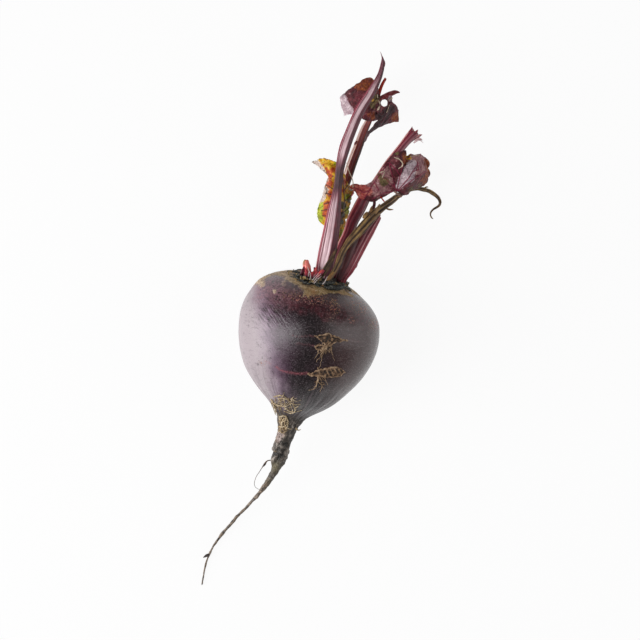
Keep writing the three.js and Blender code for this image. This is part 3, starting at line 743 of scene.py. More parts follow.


# Stalks. Turns are in degrees over the top, from 0 on the left to 180 on the right. A rib is
# (turn, width, amount), a tone is (turn, paleness, redness), and a shade is (distance along, share of light).
# The paleness is partly real stripes and partly painted light: paler on the lit left, darker on the right.

stalks = {
    "longStalk": {
        "node": "long_stalk", "depth": 0.72, "sides": 44, "brown": 0.0, "tear": 0.0,
        "stations": [
            (7.5, 26.5, 43, 3.4), (8, 32, 45.5, 3.9), (9.5, 38.5, 47.5, 4.5), (11, 46, 50, 4.5),
            (12.5, 55, 51, 4), (14, 65.5, 52, 3.2), (15.5, 75.5, 52.5, 2.2), (17, 87, 53, 2.4),
            (19, 95, 53, 2.8), (21.5, 102, 52, 2.7), (27, 114.5, 50, 2.6), (32, 122.5, 48, 2.4),
            (36, 130, 45.5, 1.75), (38, 135.2, 43, 1.35), (38.7, 139, 41.7, 1.1), (38.9, 141.6, 41, 0.6),
            (38.4, 143.4, 40.6, 0.12),
        ],
        "shards": [
            [(38.6, 141, 41.2, 0.3), (38.2, 143.6, 40.8, 0.2), (37.4, 145.6, 40.2, 0.06)],
            [(39.2, 136.6, 42.6, 0.2), (39.9, 139, 41.8, 0.22), (39.7, 141, 41.2, 0.06)],
        ],
        "ribs": [
            (103, 9, 0.14), (32, 6, -0.16), (57, 4, -0.08), (80, 4, -0.06), (128, 6, -0.12),
            (150, 7, -0.09),
        ],
        "tonesAndLight": [
            (-60, 0.25, 0.5), (-12, 0.25, 1.0), (10, 0.4, 1.0), (40, 0.32, 1.0), (46, 0.9, 0.1),
            (53, 0.9, 0.0), (57, 0.25, 0.4), (62, 0.25, 0.3), (66, 0.9, 0.0), (76, 0.78, 0.1),
            (80, 0.92, 0.0), (86, 0.8, 0.0), (94, 1.0, 0.0), (100, 0.8, 0.2), (104, 0.1, 0.7),
            (118, 0.28, 0.3), (124, 0.1, 0.4), (140, 0.26, 0.1), (150, 0.08, 0.4), (164, 0.2, 0.3),
            (180, 0.3, 0.5),
        ],
        "shades": [
            (0, 0.95), (42, 1.0), (46, 0.6), (50, -0.05), (57, -0.1), (61, 0.3), (67, 0.9), (105, 1.0),
            (113, 0.5),
        ],
    },
    "backStalk": {
        "node": "back_stalk", "depth": 0.8, "sides": 36, "brown": 1.0, "tear": 0.0,
        "stations": [
            (5.5, 26, 33, 3), (8.5, 41.5, 31.5, 3), (11.5, 54.5, 28.5, 2.8), (15.5, 67, 25, 2.6),
            (20, 79.5, 21.5, 2.6), (23.5, 90, 18.5, 2.6), (26.5, 98, 17, 2.5), (29.5, 106.5, 17, 2.2),
            (32, 111.5, 18, 1.8), (34, 115.5, 20, 1),
        ],
        "ribs": [(52, 6, -0.16), (85, 10, 0.08), (105, 5, -0.1), (130, 8, 0.06)],
        "tonesAndLight": [
            (-60, 0.3, 0.2), (0, 0.95, 0), (36, 0.95, 0), (42, 0.45, 0), (48, 0.9, 0), (62, 0.9, 0.1),
            (67, 0.3, 0.4), (76, 0.12, 0.6), (90, 0.28, 0.8), (98, 0.5, 0.3), (104, 0.18, 0.4),
            (114, 0.3, 0.6), (122, 0.08, 0.2), (160, 0.06, 0.1), (180, 0.3, 0.1),
        ],
        "shades": [(0, 0.8), (80, 1.0), (90, 1.4)],
        "shards": [[(24.4, 98.0, 17.8, 0.3), (24.9, 99.4, 18.8, 0.65), (25.8, 100.6, 18.4, 0.3)]],
    },
    "middleStalk": {
        "node": "middle_stalk", "depth": 0.75, "sides": 36, "brown": 0.1, "tear": 1.2,
        "stations": [
            (13, 27.5, 35.5, 2.7), (15.5, 38.5, 35.5, 2.8), (18, 45.5, 35.5, 2.6),
            (21, 51.5, 35, 2.8), (23.5, 58.5, 34, 3.2), (26.5, 64, 33, 3.5), (29.5, 70, 32, 3.2),
            (34, 75.5, 32, 2.6), (42, 88, 32.5, 2), (46.5, 93.5, 33, 2), (50.5, 98.5, 33, 2.2),
            (53, 101.4, 32.2, 2.6), (56, 104.3, 31.4, 3.2),
        ],
        "ribs": [
            (40, 6, 0.1), (58, 5, -0.1), (82, 5, 0.07), (100, 6, -0.14), (125, 8, 0.05), (150, 7, -0.06),
        ],
        "tonesAndLight": [
            (-60, 0.3, 0.6), (0, 0.75, 1.0), (34, 0.85, 1.0), (50, 0.65, 1.0), (57, 0.3, 1.0),
            (64, 0.12, 0.9), (76, 0.26, 0.6), (88, 0.36, 0.3), (96, 0.14, 0.8), (112, 0.3, 0.3),
            (135, 0.36, 0.2), (150, 0.2, 0.3), (180, 0.3, 0.4),
        ],
        "shades": [(0, 0.9), (20, 1.1), (60, 1.1), (78, 1.4)],
        "shards": [
            [(51.8, 101.4, 32.6, 0.9), (53.6, 105, 33, 0.7), (54.4, 107.2, 33, 0.08)],
            [(54.6, 102, 32, 1.1), (56.4, 104.2, 32.4, 0.8), (57.4, 105.6, 32.4, 0.1)],
            [(55.6, 101, 32, 1.1), (58, 102.4, 32.4, 0.8), (59.6, 103, 32.4, 0.1)],
            [(55.6, 99.6, 32, 1.0), (58, 100.8, 32.2, 0.7), (59.8, 100, 32, 0.1)],
            [(55, 98.6, 32.4, 0.5), (58, 100, 33.4, 0.3), (60.2, 98.4, 32.8, 0.06)],
        ],
    },
    "rightStalk": {
        "node": "right_stalk", "depth": 0.62, "sides": 40, "brown": 0.25, "tear": 2.0,
        "stations": [
            (16.5, 23.5, 41, 2.5), (17.5, 27.5, 42.5, 2.6), (19.5, 32, 43.5, 3.9),
            (23, 38.5, 43.5, 4), (27, 46, 42.5, 4), (31.5, 54, 40.5, 3.7), (36, 60.5, 38.5, 2.6),
        ],
        "ribs": [
            (58, 6, -0.1), (78, 5, 0.08), (98, 5, -0.1), (118, 6, 0.08), (136, 5, -0.08), (152, 5, 0.06),
        ],
        "tonesAndLight": [
            (-60, 0.25, 0.2), (0, 0.2, 0.1), (30, 0.3, 0.1), (50, 0.5, 0.0), (56, 0.14, 0.2),
            (66, 0.4, 0.3), (74, 0.62, 0.2), (80, 0.4, 0.5), (86, 0.14, 0.5), (96, 0.5, 0.2),
            (104, 0.3, 0.6), (112, 0.62, 0.3), (118, 0.2, 0.8), (128, 0.4, 0.9), (136, 0.16, 1.0),
            (144, 0.4, 1.0), (152, 0.75, 0.7), (158, 0.3, 1.0), (180, 0.5, 1.0),
        ],
        "shades": [(0, 0.6), (8, 0.8), (18, 1.0)],
        "frill": [
            [(15.5, 27, 44, 1.4), (18.8, 35, 45.6, 2.3), (22, 43, 45.6, 2.4), (25.6, 50, 43.6, 1.7),
             (28.6, 56, 41.6, 0.6)],
            [(25.2, 37.6, 43, 0.4), (24.6, 34.6, 43.4, 1.1), (22, 31.6, 43.6, 0.6)],
            [(22.4, 32, 44, 0.4), (21.2, 29.6, 44, 0.8), (19.6, 27.4, 44, 0.4)],
        ],
    },
}


def angleHump(around, turn, width):
    apart = np.abs((np.degrees(around) - turn + 180) % 360 - 180)
    return np.exp(-((apart / width) ** 2))


stalkForm = {
    "spacing": 2.4, "swell": 0.12, "grain": 0.06,
    "wander": 4,  # how many degrees its stripes stray
    "underRibs": [(-30, 14, -0.06), (-75, 14, 0.05), (-110, 12, -0.06), (-150, 14, 0.05)],
    "shard": {"sides": 8, "spacing": 0.7, "depth": 0.5},
    "fold": {"sides": 10, "spacing": 0.7, "depth": 0.8},
}


def makeStalk(name, stalk):
    ribs = stalk["ribs"] + stalkForm["underRibs"]

    def section(around, along):
        return 1 + sum(amount * angleHump(around, turn, width) for turn, width, amount in ribs)

    piece = limb(
        name, stalk["stations"], sides=stalk["sides"], spacing=stalkForm["spacing"], depth=stalk["depth"],
        ribs=section, tear=stalk["tear"],
    )
    straight = painted(piece, "straight")
    around = np.arctan2(straight[:, 0] / stalk["depth"], straight[:, 2])
    grain = lumps(straight * [1.0, 0.07, 1.0], 1.1, 3, len(name))
    turns, pale, red = np.array(stalk["tonesAndLight"]).T
    degrees = np.degrees(around) + stalkForm["wander"] * lumps(straight * [0, 1, 0], 16, 2, len(name) + 1)
    reach = np.array(stalk["shades"]).T
    fine = stalkForm["grain"] * grain
    # stripes with painted light: paler on the lit left turns, darker on the right, times the share of light
    # along it
    tint = np.interp(degrees, turns, pale) * np.interp(straight[:, 1], *reach) + fine
    raisePoints(piece, stalkForm["swell"] * lumps(pointsOf(piece) / mm, 9, 2, 7) + fine)
    paint(piece, "tint", tint)
    paint(piece, "red", np.interp(degrees, turns, red))
    dressedWith(piece, brown=stalk["brown"])
    extras = []
    for i, stations in enumerate(stalk.get("shards", [])):
        shard = limb(name + "Shard", stations, **stalkForm["shard"])
        brown = max(stalk["brown"], 0.2)
        extras.append(dressedWith(shard, tint=0.25 + 0.18 * i, red=0.9 - 0.2 * i, brown=brown))
    for i, stations in enumerate(stalk.get("frill", [])):
        fold = limb(name + "Fold", stations, **stalkForm["fold"])
        extras.append(dressedWith(fold, tint=0.1 + 0.1 * (i % 3), red=0.7 * (i > 0), brown=0.5 * (i == 0)))
    return joinPieces(name, [piece] + extras)


def stalkMaterial():
    shader = Shader("beetStalk")
    unrolled = shader.paintedPlace("unrolled")
    streak = shader.noise(0.6, 3, 0.6, unrolled, (1, 0.03, 1))
    fine = shader.noise(0.26, 2, 0.6, unrolled, (1, 0.04, 1))
    blotch = shader.noise(3.0, 3, 0.6)
    tint = shader.painted("tint") + (streak - 0.5) * 0.5 + (fine - 0.5) * 0.3 + (blotch - 0.5) * 0.25
    mauve = shader.ramp(
        tint, (0.0, "#2c1418"), (0.18, "#573038"), (0.38, "#83525c"), (0.6, "#b5878f"), (0.82, "#dcbac0"),
        (1.0, "#f0d4da"))
    crimson = shader.ramp(
        tint, (0.0, "#3e0a18"), (0.18, "#74162c"), (0.38, "#a03048"), (0.6, "#c65c64"), (0.85, "#eaa49c"))
    brown = shader.ramp(
        tint, (0.0, "#28100c"), (0.2, "#641f15"), (0.4, "#8c3a28"), (0.62, "#bb8474"), (0.85, "#e6d2c8"))
    base = shader.mix((shader.painted("red") + (blotch - 0.5) * 0.5).above(0.1, 0.9), mauve, crimson)
    base = shader.mix(shader.painted("brown"), base, brown)
    lines = shader.noise(0.75, 2, 0.6, unrolled, (1, 0.012, 1), 3.0)
    base = shader.mix(lines.above(0.53, 0.58) * 0.6, base, "#64303e")
    paleLines = (1 - lines).above(0.58, 0.63) * shader.painted("tint").above(0.3, 0.6)
    base = shader.mix(paleLines * 0.45, base, "#f0dade")
    relief = shader.bump(streak + fine * 0.5, 0.3, 0.7)
    return shader.finish(base, 0.36 + fine * 0.2, relief, IOR=1.45)


stalkFinish = stalkMaterial()
for name, stalk in stalks.items():
    dress(makeStalk(name, stalk), stalkFinish, "stalk", stalk["node"])
print("stalks made")


# The withered stalk: two ribs with a groove between them

withered = {
    "sides": 28, "spacing": 1.8, "depth": 0.7, "grain": 0.16, "swell": 0.2,
    "twist": 0.5, "twistLength": 14, "twistStart": (25, 60),
    "stations": [
        (7.8, 24, 57, 0.7), (11.8, 28.6, 56, 1.2), (15.2, 34.6, 54.8, 1.5), (17.8, 40.8, 53, 1.7),
        (21.5, 46.5, 51.5, 2), (26.5, 52, 49.5, 2.5), (31, 57, 47, 2.6), (35, 61.5, 43.5, 2.3),
        (40, 65.5, 39, 1.8), (44.5, 69, 33, 1.7), (47.5, 71.5, 26.5, 1.4), (52, 74, 19.5, 0.95),
        (57.5, 75.6, 13.5, 1.0), (62.5, 75, 10, 1.1), (66.5, 73.2, 7, 0.9), (69.6, 70.3, 4.5, 0.9),
        (70, 67.5, 3.2, 0.8), (67, 65.5, 2.4, 0.6), (65, 63.5, 1.8, 0.5), (65, 61.5, 1.3, 0.4),
        (66.5, 60, 0.9, 0.2),
    ],
    "ribs": [
        (40, 9, -0.2), (62, 14, 0.16), (92, 10, -0.4), (122, 14, 0.16), (146, 8, -0.2), (-60, 14, -0.2),
        (-100, 14, -0.25),
    ],
    "grooves": [(95, 13, 1), (40, 12, 0.6), (165, 22, 0.5)],  # painted shade in the grooves, as (turn, width, amount)
    "scrap": {"sides": 8, "spacing": 0.8, "depth": 0.45, "tear": 0.5},
    "scraps": [  # dry shreds that cling to it
        [(15, 43, 52.6, 0.5), (11.8, 37, 53.6, 1.2), (8.8, 31.6, 54.6, 1.5), (5.8, 27, 55, 0.7)],
        [(9.5, 26, 57.5, 0.4), (8.4, 24.6, 58.2, 0.8), (7.4, 23.6, 58.6, 0.3)],
        [(13.4, 31, 56.4, 0.4), (11, 28, 57, 0.7), (9.2, 26, 57, 0.3)],
        [(13.4, 38, 54.6, 0.3), (10.6, 33.4, 55.6, 0.8), (8, 29.4, 56.6, 0.4)],
        [(28.6, 58.6, 46.8, 0.7), (29.6, 60.4, 47.4, 1.0), (31, 62, 46.6, 0.5)],
        [(32, 60.8, 45, 0.5), (32.6, 63.4, 45, 0.7), (33.4, 65.4, 43.4, 0.2)],
        [(34.5, 60.5, 45.4, 0.4), (36.4, 64.4, 45.6, 0.8), (37.2, 66.4, 44.4, 0.2)],
        [(40, 64.4, 40.6, 0.3), (42, 63.6, 40.6, 0.5), (44.4, 63.6, 39.4, 0.15)],
        [(45, 69.6, 34, 0.3), (46.6, 70.8, 33.4, 0.4), (48.8, 70.2, 32, 0.12)],
        [(61, 75.6, 12, 0.3), (62.6, 76.6, 12, 0.4), (63.6, 76.4, 11, 0.1)],
    ],
}


def twisted(around, along):  # past its thick part it is wrung to and fro
    wave = np.sin(along / withered["twistLength"]) * rise(along, *withered["twistStart"])
    return around + withered["twist"] * wave


def makeWithered():
    def section(around, along):
        turned = twisted(around, along)
        return 1 + sum(amount * angleHump(turned, turn, width) for turn, width, amount in withered["ribs"])

    piece = limb(
        "witheredStalk", withered["stations"], sides=withered["sides"], spacing=withered["spacing"],
        depth=withered["depth"], ribs=section,
    )
    straight = painted(piece, "straight")
    turned = twisted(np.arctan2(straight[:, 0], straight[:, 2]), straight[:, 1])
    grain = withered["grain"] * lumps(straight * [1.0, 0.12, 1.0], 1.0, 3, 8)
    raisePoints(piece, grain + withered["swell"] * lumps(pointsOf(piece) / mm, 4.5, 2, 9))
    grooves = [amount * angleHump(turned, turn, width) for turn, width, amount in withered["grooves"]]
    paint(piece, "groove", sum(grooves))
    dressedWith(piece, scrap=0.0)
    scraps = []
    for i, stations in enumerate(withered["scraps"]):
        scrap = limb("scrap", stations, **withered["scrap"])
        scraps.append(dressedWith(scrap, groove=0.55 * (i in (0, 3)), scrap=0.3 * (i % 3)))
    return joinPieces("witheredStalk", [piece] + scraps)


def witheredMaterial():
    shader = Shader("witheredStalk")
    unrolled = shader.paintedPlace("unrolled")
    streak = shader.noise(0.8, 4, 0.6, unrolled, (1, 0.07, 1))
    patch = shader.noise(3.5, 3)
    # darker along the grooves: painted shade, and a darker tone all over two scraps
    tone = streak * 0.6 + patch * 0.4 - shader.painted("groove") * 0.3
    base = shader.ramp(
        tone, (0.14, "#1e140c"), (0.33, "#4a3420"), (0.46, "#785a38"), (0.58, "#a4824c"), (0.76, "#ccb070"))
    reddish = shader.ramp(tone, (0.3, "#5a3018"), (0.46, "#9c6c30"), (0.62, "#cc9c48"))
    base = shader.mix(shader.painted("scrap") * 0.8, base, reddish)
    cracks = shader.noise(0.7, 3, 0.6, unrolled, (1, 0.1, 1), 2.0)
    base = shader.mix(cracks.above(0.56, 0.63) * 0.6, base, "#22160c")
    relief = shader.bump(streak, 0.6, 1.0)
    return shader.finish(base, 0.6, relief)


dress(makeWithered(), witheredMaterial(), "withered_stalk", "withered_stalk")
print("withered stalk made")


# Leaves are crumpled sheets laid through rows of points, with folds, veins and ragged edges

leafForm = {
    "thickness": 0.4, "veinWidth": 0.36, "veinHeight": 0.22,
    "twig": {"sides": 10, "spacing": 0.6, "tear": 0.5},
}


def cellOf(share, rows):  # the row below each share from 0 to 1, and how far it lies towards the next
    at = np.clip(share, 0, 1) * (rows - 1)
    cell = np.minimum(at.astype(int), rows - 2)
    return cell, at - cell


def through(points, share):  # a smooth curve's points, at shares from 0 to 1 of its rows
    points = np.asarray(points, float)
    cell, part = cellOf(share, len(points))
    part = part.reshape(-1, *[1] * (points.ndim - 1))
    slopes = np.gradient(points, axis=0)
    return cubic(part, points[cell], points[cell + 1], slopes[cell], slopes[cell + 1])


def cutHole(piece, x, y, radius):
    points = pointsOf(piece) / mm
    selectOnly(piece)
    bpy.ops.object.mode_set(mode='EDIT')
    bpy.ops.mesh.select_mode(type='VERT')
    bpy.ops.mesh.select_all(action='DESELECT')
    bpy.ops.object.mode_set(mode='OBJECT')
    piece.data.vertices.foreach_set("select", np.hypot(points[:, 0] - x, points[:, 1] - y) < radius)
    bpy.ops.object.mode_set(mode='EDIT')
    bpy.ops.mesh.delete(type='VERT')
    bpy.ops.object.mode_set(mode='OBJECT')


def sheet(name, rows, across, along, crumple, size, ragged, seed, hole=None):
    bpy.ops.object.select_all(action='DESELECT')
    bpy.ops.mesh.primitive_grid_add(x_subdivisions=across, y_subdivisions=along, size=2)
    piece = bpy.context.object
    piece.name = name
    places = pointsOf(piece)
    u, v = (places[:, 0] + 1) / 2, (places[:, 1] + 1) / 2
    jag = lumps(np.stack([5 * u + seed, 11 * v, 0 * u], axis=1), 1.0, 4, seed)
    u = 0.5 + (u - 0.5) * (1 + ragged * jag)
    v = 0.5 + (v - 0.5) * (1 + 0.6 * ragged * jag)
    wide = max(len(row) for row in rows)
    even = np.array([through(row, np.linspace(0, 1, wide)) for row in rows])
    lines = through(np.moveaxis(even, 0, 1), u)  # for each vertex, its own line of points over the rows
    cell, part = cellOf(v, len(rows))
    slopes = np.gradient(lines, axis=1)
    here, beyond = (np.arange(len(u)), cell), (np.arange(len(u)), cell + 1)
    points = cubic(part[:, None], lines[here], lines[beyond], slopes[here], slopes[beyond])
    movePoints(piece, points * mm)
    folds = np.abs(lumps(points, size, 2, seed + 1)) - 0.3
    pucker = lumps(points, size / 3, 3, seed + 2)
    raisePoints(piece, crumple * folds + 0.25 * crumple * pucker)
    if hole:
        cutHole(piece, *hole)
    applyModifier(piece, 'SOLIDIFY', thickness=leafForm["thickness"] * mm, offset=0)
    selectOnly(piece)
    bpy.ops.object.shade_smooth()
    return piece


# A spot is (x, y, radius, amount), a hole is (x, y, radius) and a vein is a line over x and y
leaves = {
    "upperLeaf": {
        "node": "upper_leaf",
        "sheets": [
            {
                "rows": [
                    [(19, 113.8, 18), (18, 118, 21), (16.8, 122.4, 24), (18.6, 124.6, 22)],
                    [(23.5, 114.2, 24), (23, 118.5, 29), (23, 122.5, 31), (22.5, 127.5, 27)],
                    [(29, 111.6, 25), (28.5, 117, 30), (28.5, 123.5, 33), (31, 133, 28)],
                    [(33, 110.6, 22), (33, 116, 28), (33, 122, 32), (35, 130.8, 30)],
                    [(37.5, 112, 18.5), (38.2, 116, 21.5), (37, 120, 27), (37.5, 124, 28)],
                ],
                "across": 84, "along": 96, "crumple": 1.0, "size": 6.0, "ragged": 0.04, "seed": 3,
            },
            {
                "rows": [
                    [(25, 91.5, 17.5), (25.5, 91.5, 16.5), (26, 91.5, 15.5)],
                    [(28, 99.5, 16.5), (28.7, 99.5, 14.5), (29.5, 99.5, 12.5)],
                    [(32, 105.8, 16.5), (33, 105.9, 14), (34, 106, 11)],
                    [(36.4, 111.2, 18.5), (37.6, 110, 14.5), (39, 109, 8.5)],
                    [(39.5, 116, 20), (42, 113.5, 13), (44.5, 111, 5)],
                    [(44, 121.3, 20), (47.4, 118.5, 9), (48.2, 111.8, 1.4)],
                ],
                "across": 48, "along": 96, "crumple": 0.8, "size": 6.0, "ragged": 0.06, "seed": 5,
            },
            {
                "rows": [
                    [(35.5, 122, 28.2), (36, 119, 27), (36.5, 114, 25)],
                    [(38, 123, 27.4), (38.4, 119, 24.4), (39, 113.5, 20)],
                    [(41, 124, 26.8), (41.4, 120, 22), (41.8, 114.5, 16)],
                    [(42.6, 124.8, 26), (43, 122, 21), (43.4, 118.5, 16.5)],
                    [(43.8, 125, 25.6), (44, 123.6, 22.6), (44.2, 121, 19.6)],
                ],
                "across": 44, "along": 44, "crumple": 0.3, "size": 3.0, "ragged": 0.03, "seed": 9,
                "hole": (40.0, 120.1, 1.75),
            },
        ],
        "twigs": [  # a twig's stations, depth and redness
            ([(33.5, 118.6, 29.5, 0.6), (37, 121.6, 29, 1.0), (40, 123.2, 28, 1.3), (43.5, 124.8, 26.6, 1.35),
              (46, 125.7, 25, 1.0), (48.2, 125.5, 24, 0.25)], 0.6, 0.5),
            ([(32.6, 116.4, 29, 0.4), (34.4, 119, 30, 0.6), (36.6, 121.6, 30, 0.5),
              (39, 123, 29.4, 0.2)], 0.7, -0.35),
            ([(36.6, 121, 28, 0.7), (37.2, 125, 27.4, 0.9), (39, 130, 26, 0.8),
              (40.8, 133, 24.5, 0.7)], 0.7, 1.0),
            ([(36, 124.4, 29.5, 0.2), (36.6, 121.6, 29.6, 0.35), (37.8, 119, 28, 0.3)], 0.7, -1.0),
            ([(36, 118, 28.6, 0.3), (36.4, 115.4, 28.8, 0.5), (38, 113.8, 27.8, 0.5), (39.6, 115, 26, 0.4),
              (38.8, 116.6, 26.4, 0.3)], 0.7, 0.1),
            ([(36.2, 115.6, 29.4, 0.25), (37, 117, 29.4, 0.45), (37.6, 118.4, 28.4, 0.2)], 0.7, -0.8),
            ([(41.8, 121.4, 23, 0.2), (43, 122.2, 23.4, 0.5), (44.6, 122.9, 22.6, 0.2)], 0.5, -1.0),
            ([(42.8, 119.6, 20, 0.15), (42, 117.4, 19.4, 0.2), (41.2, 115.4, 18.6, 0.15)], 1.0, -1.0),
        ],
        "pale": [
            (17.4, 123, 2, 1.3), (18.2, 120.4, 2.4, 1.3), (19.4, 117.8, 2.4, 1.4), (20.8, 115.6, 2.4, 1.4),
            (19.2, 114, 2, 1.2), (23, 114.2, 1.4, 1.0), (43.4, 122.4, 1.4, 1.5), (38.2, 119.6, 0.8, 1.0),
        ],
        "rust": [
            (30.4, 131, 4.6, 1.2), (33.5, 128, 3.2, 1.1), (33.5, 113.5, 3.0, 0.7), (46.4, 113.2, 3.0, 1.1),
            (26, 128, 2.4, 0.6),
        ],
        "olive": [(33.3, 120, 2, 0.9), (35.8, 122, 2.4, 1.0), (34, 117.6, 1.6, 0.7)],
        # pink flesh; on this leaf the first two spots are painted highlights on the maroon
        "fleshAndHighlight": [
            (30.6, 119.6, 1.4, 0.8), (34, 115.4, 1.6, 0.6), (27.4, 119.4, 1.6, 0.5), (22, 124.4, 1.4, 0.5),
            (43.4, 125.8, 1.6, 0.9), (40, 124, 1.2, 0.6), (46, 116.6, 1.2, 0.5),
        ],
        "gold": [(33.4, 121.2, 0.9, 1.2)], "veinShare": 0.5,
        "deep": [
            (40, 112, 2.6, 1.2), (37, 108.6, 2.2, 1.2), (44, 117.6, 2.4, 1.0), (36.4, 113.6, 1.6, 0.8),
            (41, 115.6, 2, 1.0), (33.6, 106, 2, 0.9),
        ],
        "veins": [
            [(34.5, 126.5), (30, 124.5), (25, 121.6)], [(31, 125), (27.5, 129)],
            [(19.4, 123.4), (22, 119), (24, 115.4)], [(28, 123.4), (24.6, 117), (23.6, 113.8)],
            [(30, 124.4), (28.6, 116), (29.4, 112)], [(36, 120), (33, 114), (31.5, 111)],
            [(30, 99), (36, 106), (42, 112), (47.4, 117.4)], [(38, 108.6), (42, 116.5)],
            [(42, 112), (47.6, 112.4)],
        ],
    },
    "lowerLeaf": {
        "node": "lower_leaf",
        "sheets": [
            {
                "rows": [
                    [(22, 75.5, 31.5), (22.3, 76, 32), (22.5, 76.5, 32)],
                    [(25, 73.2, 32), (25, 75.5, 33.5), (25, 77.3, 33)],
                    [(27, 69.8, 34.5), (28.5, 74, 36), (29.5, 76.6, 35.5)],
                    [(34, 68, 33), (34, 73, 36.5), (34, 79, 36)],
                    [(38.5, 70, 32), (37.5, 76, 37.5), (37.5, 83.5, 36.5)],
                    [(45.5, 74, 33), (43.5, 82.5, 36), (41.5, 89, 37)],
                    [(48, 74.5, 31), (47.5, 82, 33.2), (47, 89, 34)],
                ],
                "across": 64, "along": 100, "crumple": 1.0, "size": 5.0, "ragged": 0.08, "seed": 7,
            },
            {
                "rows": [
                    [(43.5, 92, 38.5), (46.5, 93.5, 40), (51, 94.5, 38)],
                    [(42, 89.5, 39), (46, 89, 42), (51, 91, 38.5)],
                    [(42.6, 85, 39.5), (45.5, 85, 41), (49.5, 86, 39)],
                    [(44, 81, 36.5), (45.3, 80, 36), (47, 80.5, 36.5)],
                ],
                "across": 56, "along": 64, "crumple": 0.6, "size": 4.0, "ragged": 0.08, "seed": 11,
            },
            {
                "rows": [
                    [(45.5, 73.5, 33.5), (45, 78, 35), (45.5, 81.5, 36)],
                    [(48, 72.5, 31), (48.5, 79, 37.5), (49, 85.5, 36.5)],
                    [(51, 71.5, 27.5), (53, 79, 39), (51, 92, 34.5)],
                    [(55, 74.5, 22), (57.5, 80.5, 34), (55.5, 92.5, 33)],
                    [(59.5, 76.5, 14.5), (61.5, 82.5, 24), (59, 93, 25)],
                    [(63, 79.5, 6), (63.5, 84, 9), (62.5, 90, 10)],
                    [(61.5, 82, 1.8), (62, 86, 1.2), (61.5, 88.5, 2.5)],
                ],
                "across": 84, "along": 120, "crumple": 1.0, "size": 6.0, "ragged": 0.07, "seed": 13,
            },
        ],
        "twigs": [
            ([(34.5, 69.5, 32.5, 0.8), (34.5, 66, 30.5, 0.8), (32.5, 62.5, 28.5, 1.0),
              (30.5, 61, 27.5, 0.4)], 0.5, 0.3),
            ([(19.8, 87.5, 49, 0.15), (21.4, 83, 44, 0.22), (23.4, 78, 36.4, 0.22),
              (23.4, 75.4, 33.4, 0.3)], 1.0, -1.0),
            ([(24, 74.6, 33, 0.3), (23, 71.6, 34, 0.4), (21.2, 69, 35, 0.15)], 0.7, -0.2),
            ([(37.6, 71, 33, 0.3), (39.2, 68.6, 34, 0.35), (41, 66.6, 35, 0.15)], 0.8, 1.0),
            ([(44.6, 90.6, 41.8, 0.15), (47.4, 89.4, 43, 0.22), (49, 86.6, 41.8, 0.22),
              (46.8, 84.6, 41.6, 0.15)], 1.0, -1.0),
            ([(37.2, 82.4, 36.6, 0.15), (39.6, 83.2, 38.4, 0.22), (39, 81.2, 38.4, 0.22),
              (38.2, 79.2, 36, 0.15)], 1.0, -0.8),
            ([(44.6, 73.8, 33, 0.4), (46.6, 72, 33.8, 0.6), (49, 70.5, 32.2, 0.3)], 0.6, -0.5),
            ([(59.6, 92.4, 20, 0.4), (61.6, 90.6, 17, 1.2), (62.8, 88, 14, 1.4),
              (61.8, 86.2, 13, 0.6)], 0.8, 0.0),
            ([(61.4, 86.8, 14, 0.5), (63, 85.2, 12, 1.1), (63.4, 83, 10.6, 1.1),
              (62.2, 81.6, 10, 0.4)], 0.8, 0.0),
            ([(53, 91.4, 35.4, 0.2), (55, 91.9, 34, 0.35), (58, 92, 28.6, 0.35),
              (59.4, 91.4, 25, 0.2)], 0.7, -0.6),
        ],
        "pale": [
            (49.4, 79, 2.6, 1.4), (52.4, 83.6, 3.0, 1.4), (54.4, 87, 2.4, 1.2), (47.6, 76, 1.8, 1.3),
            (53.6, 79.4, 2.0, 0.9), (36.4, 77.6, 1.0, 0.5),
        ],
        "rust": [
            (62.8, 89, 2.0, 2.2), (63.6, 85.4, 1.8, 2.2), (63, 82.4, 1.4, 1.4), (50.4, 88.6, 2, 0.9),
            (61, 79.4, 2.4, 0.8), (50, 92.4, 1.6, 0.8),
        ],
        "olive": [
            (39.5, 78, 2.6, 1.1), (37, 81.5, 1.6, 0.7), (58.8, 76.5, 2.4, 0.6), (54, 74, 2.2, 0.8),
            (46, 92.8, 1.2, 1.3), (62.8, 92, 1.2, 0.9), (32.6, 64, 2, 0.5),
        ],
        "coral": [(24.6, 74, 3.6, 1.4), (28, 70.4, 2.0, 1.1), (31.6, 73.4, 2.4, 0.9), (28, 75.4, 2.2, 0.8)],
        "fleshAndHighlight": [
            (34.5, 75.4, 3.0, 1.3), (36.8, 79.5, 3.0, 1.2), (40.4, 83.6, 2.8, 1.1), (40.6, 74, 2.8, 1.0),
            (43.6, 78.6, 2.0, 0.8), (46.4, 90.6, 2.0, 0.6), (44.6, 86, 1.6, 0.7), (59, 90, 3.0, 1.7),
            (60.4, 86, 2.6, 1.5), (36, 71, 2.0, 0.7), (53, 90.6, 2.4, 1.2), (58, 92, 2.4, 1.2),
            (31, 76, 1.8, 0.6), (57.4, 83.6, 2.2, 1.0),
        ],
        "gold": [(52.2, 91.2, 1.5, 1.6), (30.2, 61, 1.2, 1.0)],
        "veins": [
            [(46.2, 73.4), (47.6, 80), (49.4, 87)], [(46.6, 73.6), (52, 79.6), (57.4, 88)],
            [(46.8, 73.4), (54, 78.8), (62, 84.4)], [(45.8, 73.6), (44.2, 80), (42.2, 87)],
            [(29.4, 69.6), (33, 75.6), (37.4, 82), (41.6, 88)], [(45.8, 73.2), (40, 72.6), (33.5, 69.4)],
            [(37, 73.4), (34.4, 78)], [(44.6, 76), (38.4, 81)], [(24, 75.4), (29, 72.6), (31.6, 73.4)],
            [(54.6, 83.4), (57.6, 84.4), (57, 88.4)], [(51, 90.6), (55, 91.8)],
            [(42, 88), (46, 84), (47.4, 82)],
        ],
    },
    "yellowLeaf": {
        "node": "yellow_leaf",
